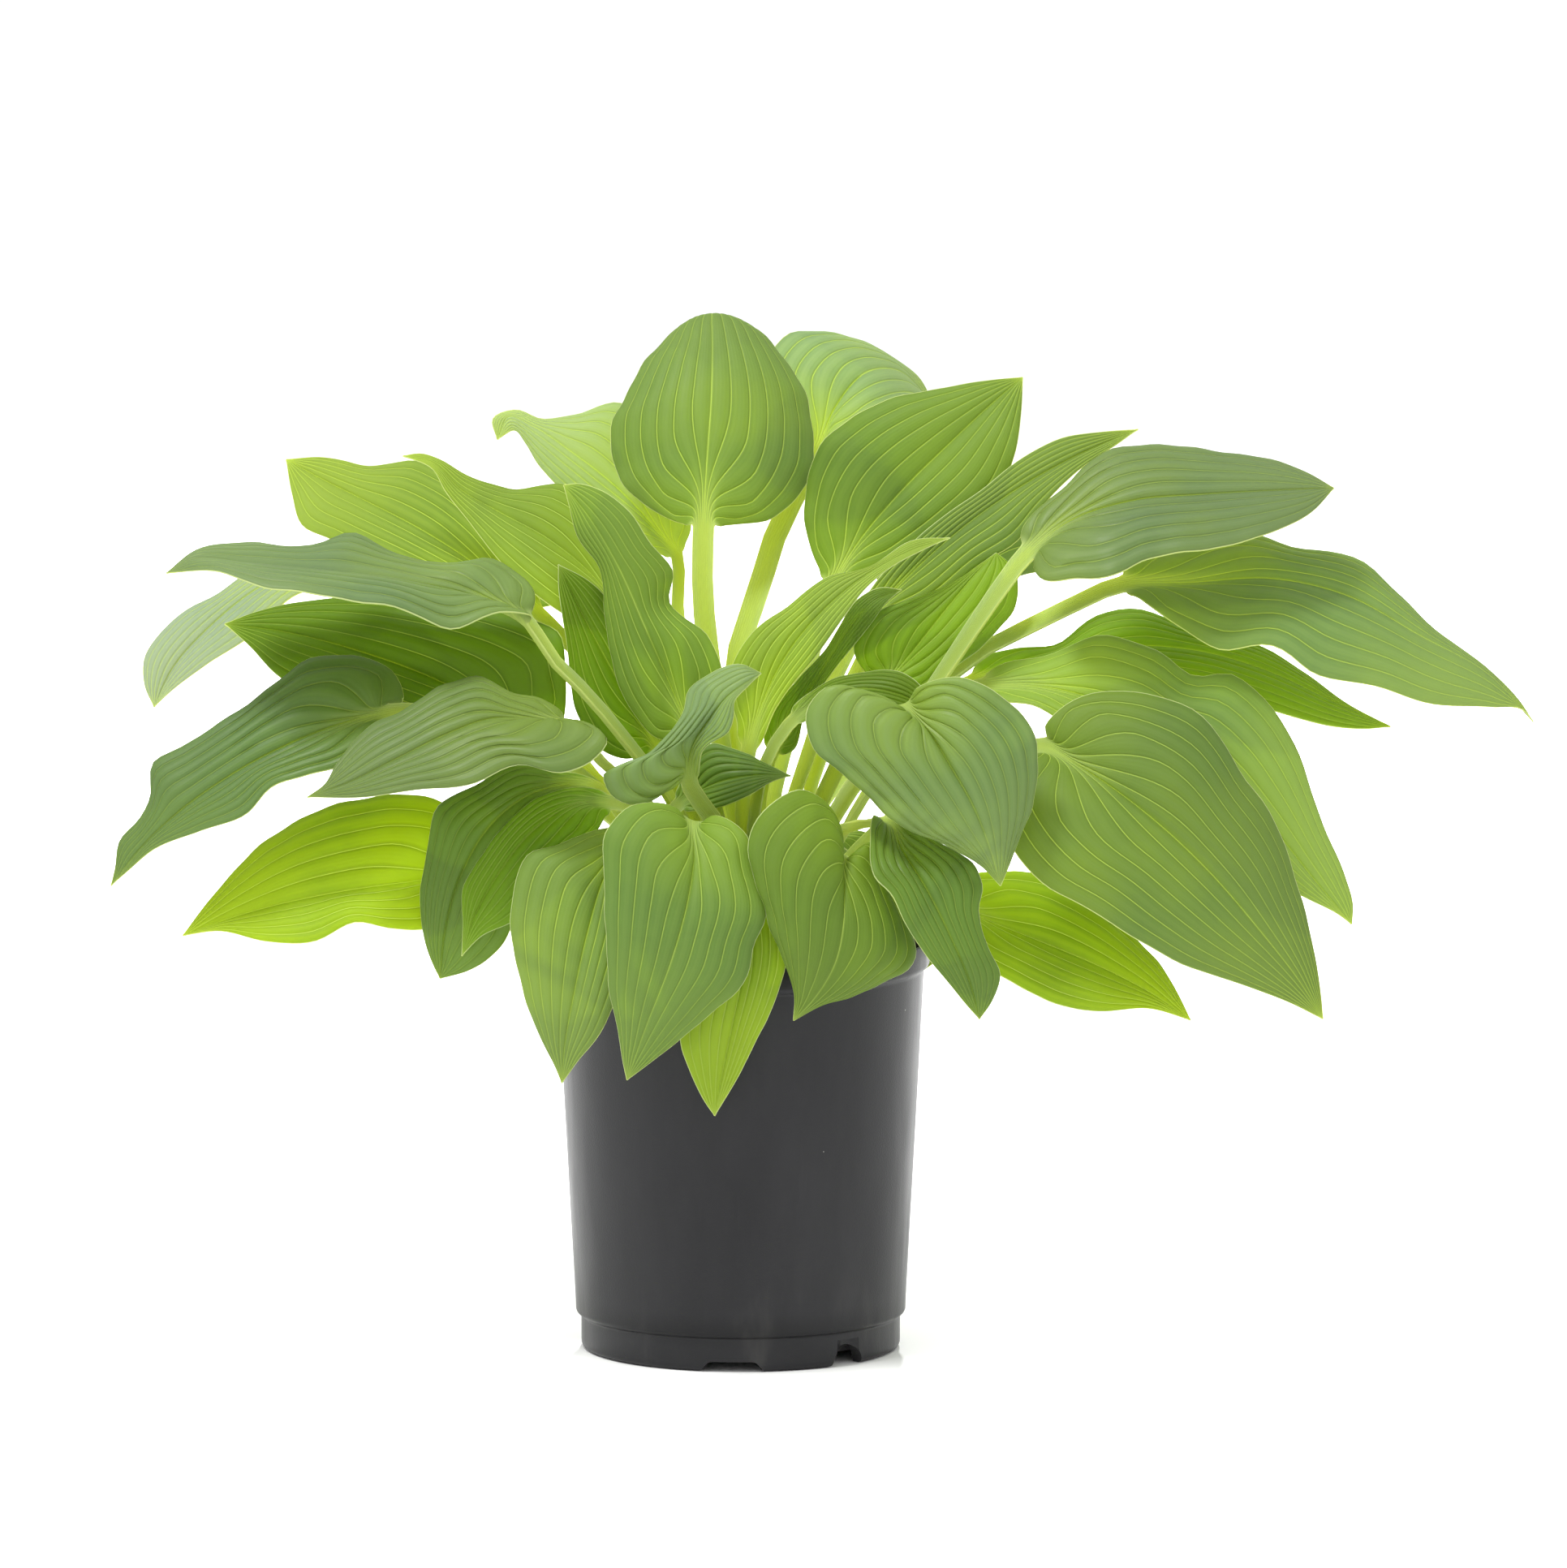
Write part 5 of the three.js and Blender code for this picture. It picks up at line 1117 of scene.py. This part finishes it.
def pot_profile():
    """Section of the pot, from the middle of its floor over the foot and up the outside, then
    down the inside."""
    floor = FOOT_FLOOR + FLOOR
    rim_edge = RIM_CREASE + RIM_STEP
    return soften([
        (0, floor, 0), (0, 0, 0), (CENTRE_FOOT, 0, 0.5), (CENTRE_FOOT + 1, FOOT_FLOOR, 0),
        (FOOT_INNER, FOOT_FLOOR, 0), (FOOT_INNER, 0, 0.6), (FOOT_OUTER, 0, 3.2),
        (FOOT_OUTER, FOOT_TOP, 1), (BODY_FOOT[0], FOOT_TOP + SHOULDER, 1.6), (*BODY_FOOT, 6),
        (*BODY_MIDDLE, 20), (BODY_TOP_RADIUS, RIM_CREASE, 0.8), (RIM_RADIUS, rim_edge, 1.2),
        (RIM_RADIUS, POT_HEIGHT, 0.7), (RIM_RADIUS - WALL, POT_HEIGHT, 0.7),
        (RIM_RADIUS - WALL, rim_edge + INNER_DROP, 1),
        (BODY_TOP_RADIUS - WALL, RIM_CREASE + INNER_DROP, 1),
        (BODY_MIDDLE[0] - WALL, BODY_MIDDLE[1], 0), (BODY_FOOT[0] - WALL, BODY_FOOT[1], 0),
        (*FOOT_STEP, 1), (FOOT_STEP[0], floor, 1),
    ])


def notch_outline():
    base, top = NOTCH["base"] / 2, NOTCH["top"] / 2
    height, rounding = NOTCH["height"], NOTCH["rounding"]
    return soften([(-base, -CUT_MARGIN, 0), (base, -CUT_MARGIN, 0), (top, height, rounding),
                   (-top, height, rounding)])


def arch_outline():
    half = ARCH["width"] / 2
    turns = [math.pi * k / ARCH["steps"] for k in range(ARCH["steps"] + 1)]
    bow = [(half * math.cos(a), ARCH["height"] * math.sin(a)) for a in turns]
    return [(half, -CUT_MARGIN)] + bow + [(-half, -CUT_MARGIN)]


def apply_cuts(obj, cutters):
    """Cuts the cutters out of a mesh and rounds its sharp edges."""
    for cutter in cutters:
        cut = obj.modifiers.new("cut", "BOOLEAN")
        cut.operation = "DIFFERENCE"
        cut.object = cutter
        cut.solver = "EXACT"
    bevel = obj.modifiers.new("round", "BEVEL")
    bevel.width = EDGE["width"] * MM
    bevel.segments = EDGE["segments"]
    bevel.limit_method = "ANGLE"
    bevel.angle_limit = math.radians(EDGE["angle"])
    graph = bpy.context.evaluated_depsgraph_get()
    data = bpy.data.meshes.new_from_object(obj.evaluated_get(graph))
    obj.modifiers.clear()
    obj.data = data
    for cutter in cutters:
        bpy.data.objects.remove(cutter)


def add_pot(material):
    pot = turned("nursery_pot", pot_profile(), POT_SIDES, material)
    cutters = [foot_cutter(notch_outline(), azimuth) for azimuth in NOTCH["azimuths"]]
    for azimuth in ARCH["azimuths"]:
        cutters += [foot_cutter(arch_outline(), azimuth), niche_cutter(azimuth)]
    apply_cuts(pot, cutters)
    shade_smooth(pot.data, 35)
    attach(pot, "root")
    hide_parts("pot")


# Compost

def soil_height(x, y, waves):
    """Surface of the compost in millimetres at a place."""
    r = np.hypot(x, y) / SOIL_RADIUS
    z = SOIL_LEVEL - SOIL_DOME * r ** 4 - SOIL_SINK
    for ax, ay, phase, size in waves:
        z = z + size * np.sin(ax * x + ay * y + phase)
    return z


def make_waves(rng):
    """Wave numbers, phase and height of the waves of the surface."""
    waves = []
    for _ in range(WAVES["count"]):
        pitch = rng.uniform(WAVES["shortest"], WAVES["longest"])
        turn = rng.uniform(0, 2 * np.pi)
        number = 2 * np.pi / pitch
        phase = rng.uniform(0, 2 * np.pi)
        waves.append((number * np.cos(turn), number * np.sin(turn), phase, WAVES["height"] * pitch))
    return waves


def add_soil(material, waves):
    positions = [(0, 0, soil_height(0, 0, waves))]
    for i in range(1, SOIL_RINGS + 1):
        ring = circle(SOIL_RADIUS * i / SOIL_RINGS, 0, SOIL_SIDES)
        ring[:, 2] = soil_height(ring[:, 0], ring[:, 1], waves)
        positions += list(ring)
    inside = FOOT_STEP[0] - FIT_GAP
    side = [(BODY_FOOT[0] - WALL - FIT_GAP, BODY_FOOT[1]), (inside, FOOT_STEP[1]),
            (inside, FOOT_FLOOR + FLOOR + FIT_GAP)]
    for radius, z in side:
        positions += list(circle(radius, z, SOIL_SIDES))
    grid = ring_grid(SOIL_RINGS + len(side), SOIL_SIDES, start=1)
    middle = [[0, grid[0, k], grid[0, k + 1]] for k in range(SOIL_SIDES)]
    faces = middle + quads(grid.T) + [grid[-1, -2::-1].tolist()]
    soil = add_mesh("bark_compost", positions, faces, [material], angle=60)
    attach(soil, "root")
    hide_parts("soil")


def chip_points(size, rng):
    """Corners of a chip about its middle, and its thickness."""
    count, uneven, rough = CHIP["corners"], CHIP["uneven"], CHIP["rough"]
    angles = 2 * np.pi * (np.arange(count) + rng.uniform(-uneven, uneven, count)) / count
    radius = size * rng.uniform(*CHIP["reach"], count)
    x = radius * np.cos(angles)
    y = radius * rng.uniform(*CHIP["slim"]) * np.sin(angles)
    thick = size * rng.uniform(*CHIP["thick"])
    layers = []
    for height, breadth in CHIP_LAYERS:
        z = thick * height + size * rng.uniform(-rough, rough, count)
        layers.append(np.stack([x * breadth, y * breadth, z], -1))
    turn = np.array(Matrix.Rotation(rng.uniform(0, CHIP["turn"]), 3, "Z")
                    @ Matrix.Rotation(rng.normal(0, CHIP["tilt"]), 3, "X")
                    @ Matrix.Rotation(rng.normal(0, CHIP["tilt"]), 3, "Y"))
    return np.concatenate(layers) @ turn.T, thick


def add_chips(material, rng, waves):
    """Loose chips of bark on the compost, clear of the wall and of the petioles."""
    roots = np.array([root_place(leaf) for leaf in LEAVES])
    positions = []
    faces = []
    chips_made = 0
    while chips_made < CHIPS:
        r = SOIL_RADIUS * math.sqrt(rng.uniform(0, 1)) - CHIP["wall_gap"]
        a = rng.uniform(0, 2 * math.pi)
        x, y = r * math.cos(a), r * math.sin(a)
        size = rng.uniform(*CHIP["size"])
        gap = np.hypot(*(roots - (x, y)).T).min() - size
        if r < 0 or gap < CHIP["root_gap"]:
            continue
        chips_made += 1
        points, thick = chip_points(size, rng)
        faces += stack_faces(len(CHIP_LAYERS), CHIP["corners"], len(positions))
        positions += list(points + (x, y, soil_height(x, y, waves) + thick / 2))
    chips = add_mesh("bark_chips", positions, faces, [material], angle=30)
    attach(chips, "root")


# Stage

def add_floor(material):
    size = STAGE_HALF
    places = [(-size, -size), (size, -size), (size, size), (-size, size)]
    corners = [(x, y, STAGE_LEVEL) for x, y in places]
    add_mesh("floor", corners, [(0, 1, 2, 3)], [material])


def add_lamp(name, place, size, power):
    data = bpy.data.lights.new(name, "AREA")
    data.shape = "DISK"
    data.size = size
    data.energy = power
    lamp = link(name, data)
    lamp.location = place
    way = Vector(TARGET) - Vector(place)
    lamp.rotation_euler = way.to_track_quat("-Z", "Y").to_euler()
    return lamp


def add_camera():
    data = bpy.data.cameras.new("camera")
    data.sensor_width = SENSOR
    data.lens = SENSOR * FOCAL_PIXELS / IMAGE_HEIGHT
    data.clip_end = FAR_CLIP
    camera = link("camera", data)
    camera.location = VIEW_POINT * MM
    camera.rotation_euler = (math.radians(90 - VIEW_PITCH), 0, 0)
    bpy.context.scene.camera = camera


def add_stage():
    world = bpy.data.worlds.new("studio")
    world.use_nodes = True
    sky = world.node_tree.nodes["Background"].inputs
    sky["Color"].default_value = (1, 1, 1, 1)
    sky["Strength"].default_value = SKY_STRENGTH
    bpy.context.scene.world = world
    bpy.context.scene.view_settings.view_transform = "Standard"
    add_floor(floor_material())
    add_lamp("key", **KEY_LAMP)
    back = add_lamp("back", **BACK_LAMP)
    back.visible_glossy = False
    add_camera()


rng = np.random.default_rng(7)
soil_waves = make_waves(rng)
add_stage()
add_pot(pot_material())
add_soil(soil_material("bark_dark", "#2a1d14", "#4a3526"), soil_waves)
add_chips(soil_material("bark_chip", "#3c2a1d", "#6d4f36"), rng, soil_waves)
leaf_materials = {(tone, lower): leaf_material(tone, lower)
                  for tone in TONES for lower in (False, True)}
for leaf in LEAVES:
    add_leaf(leaf, leaf_materials)
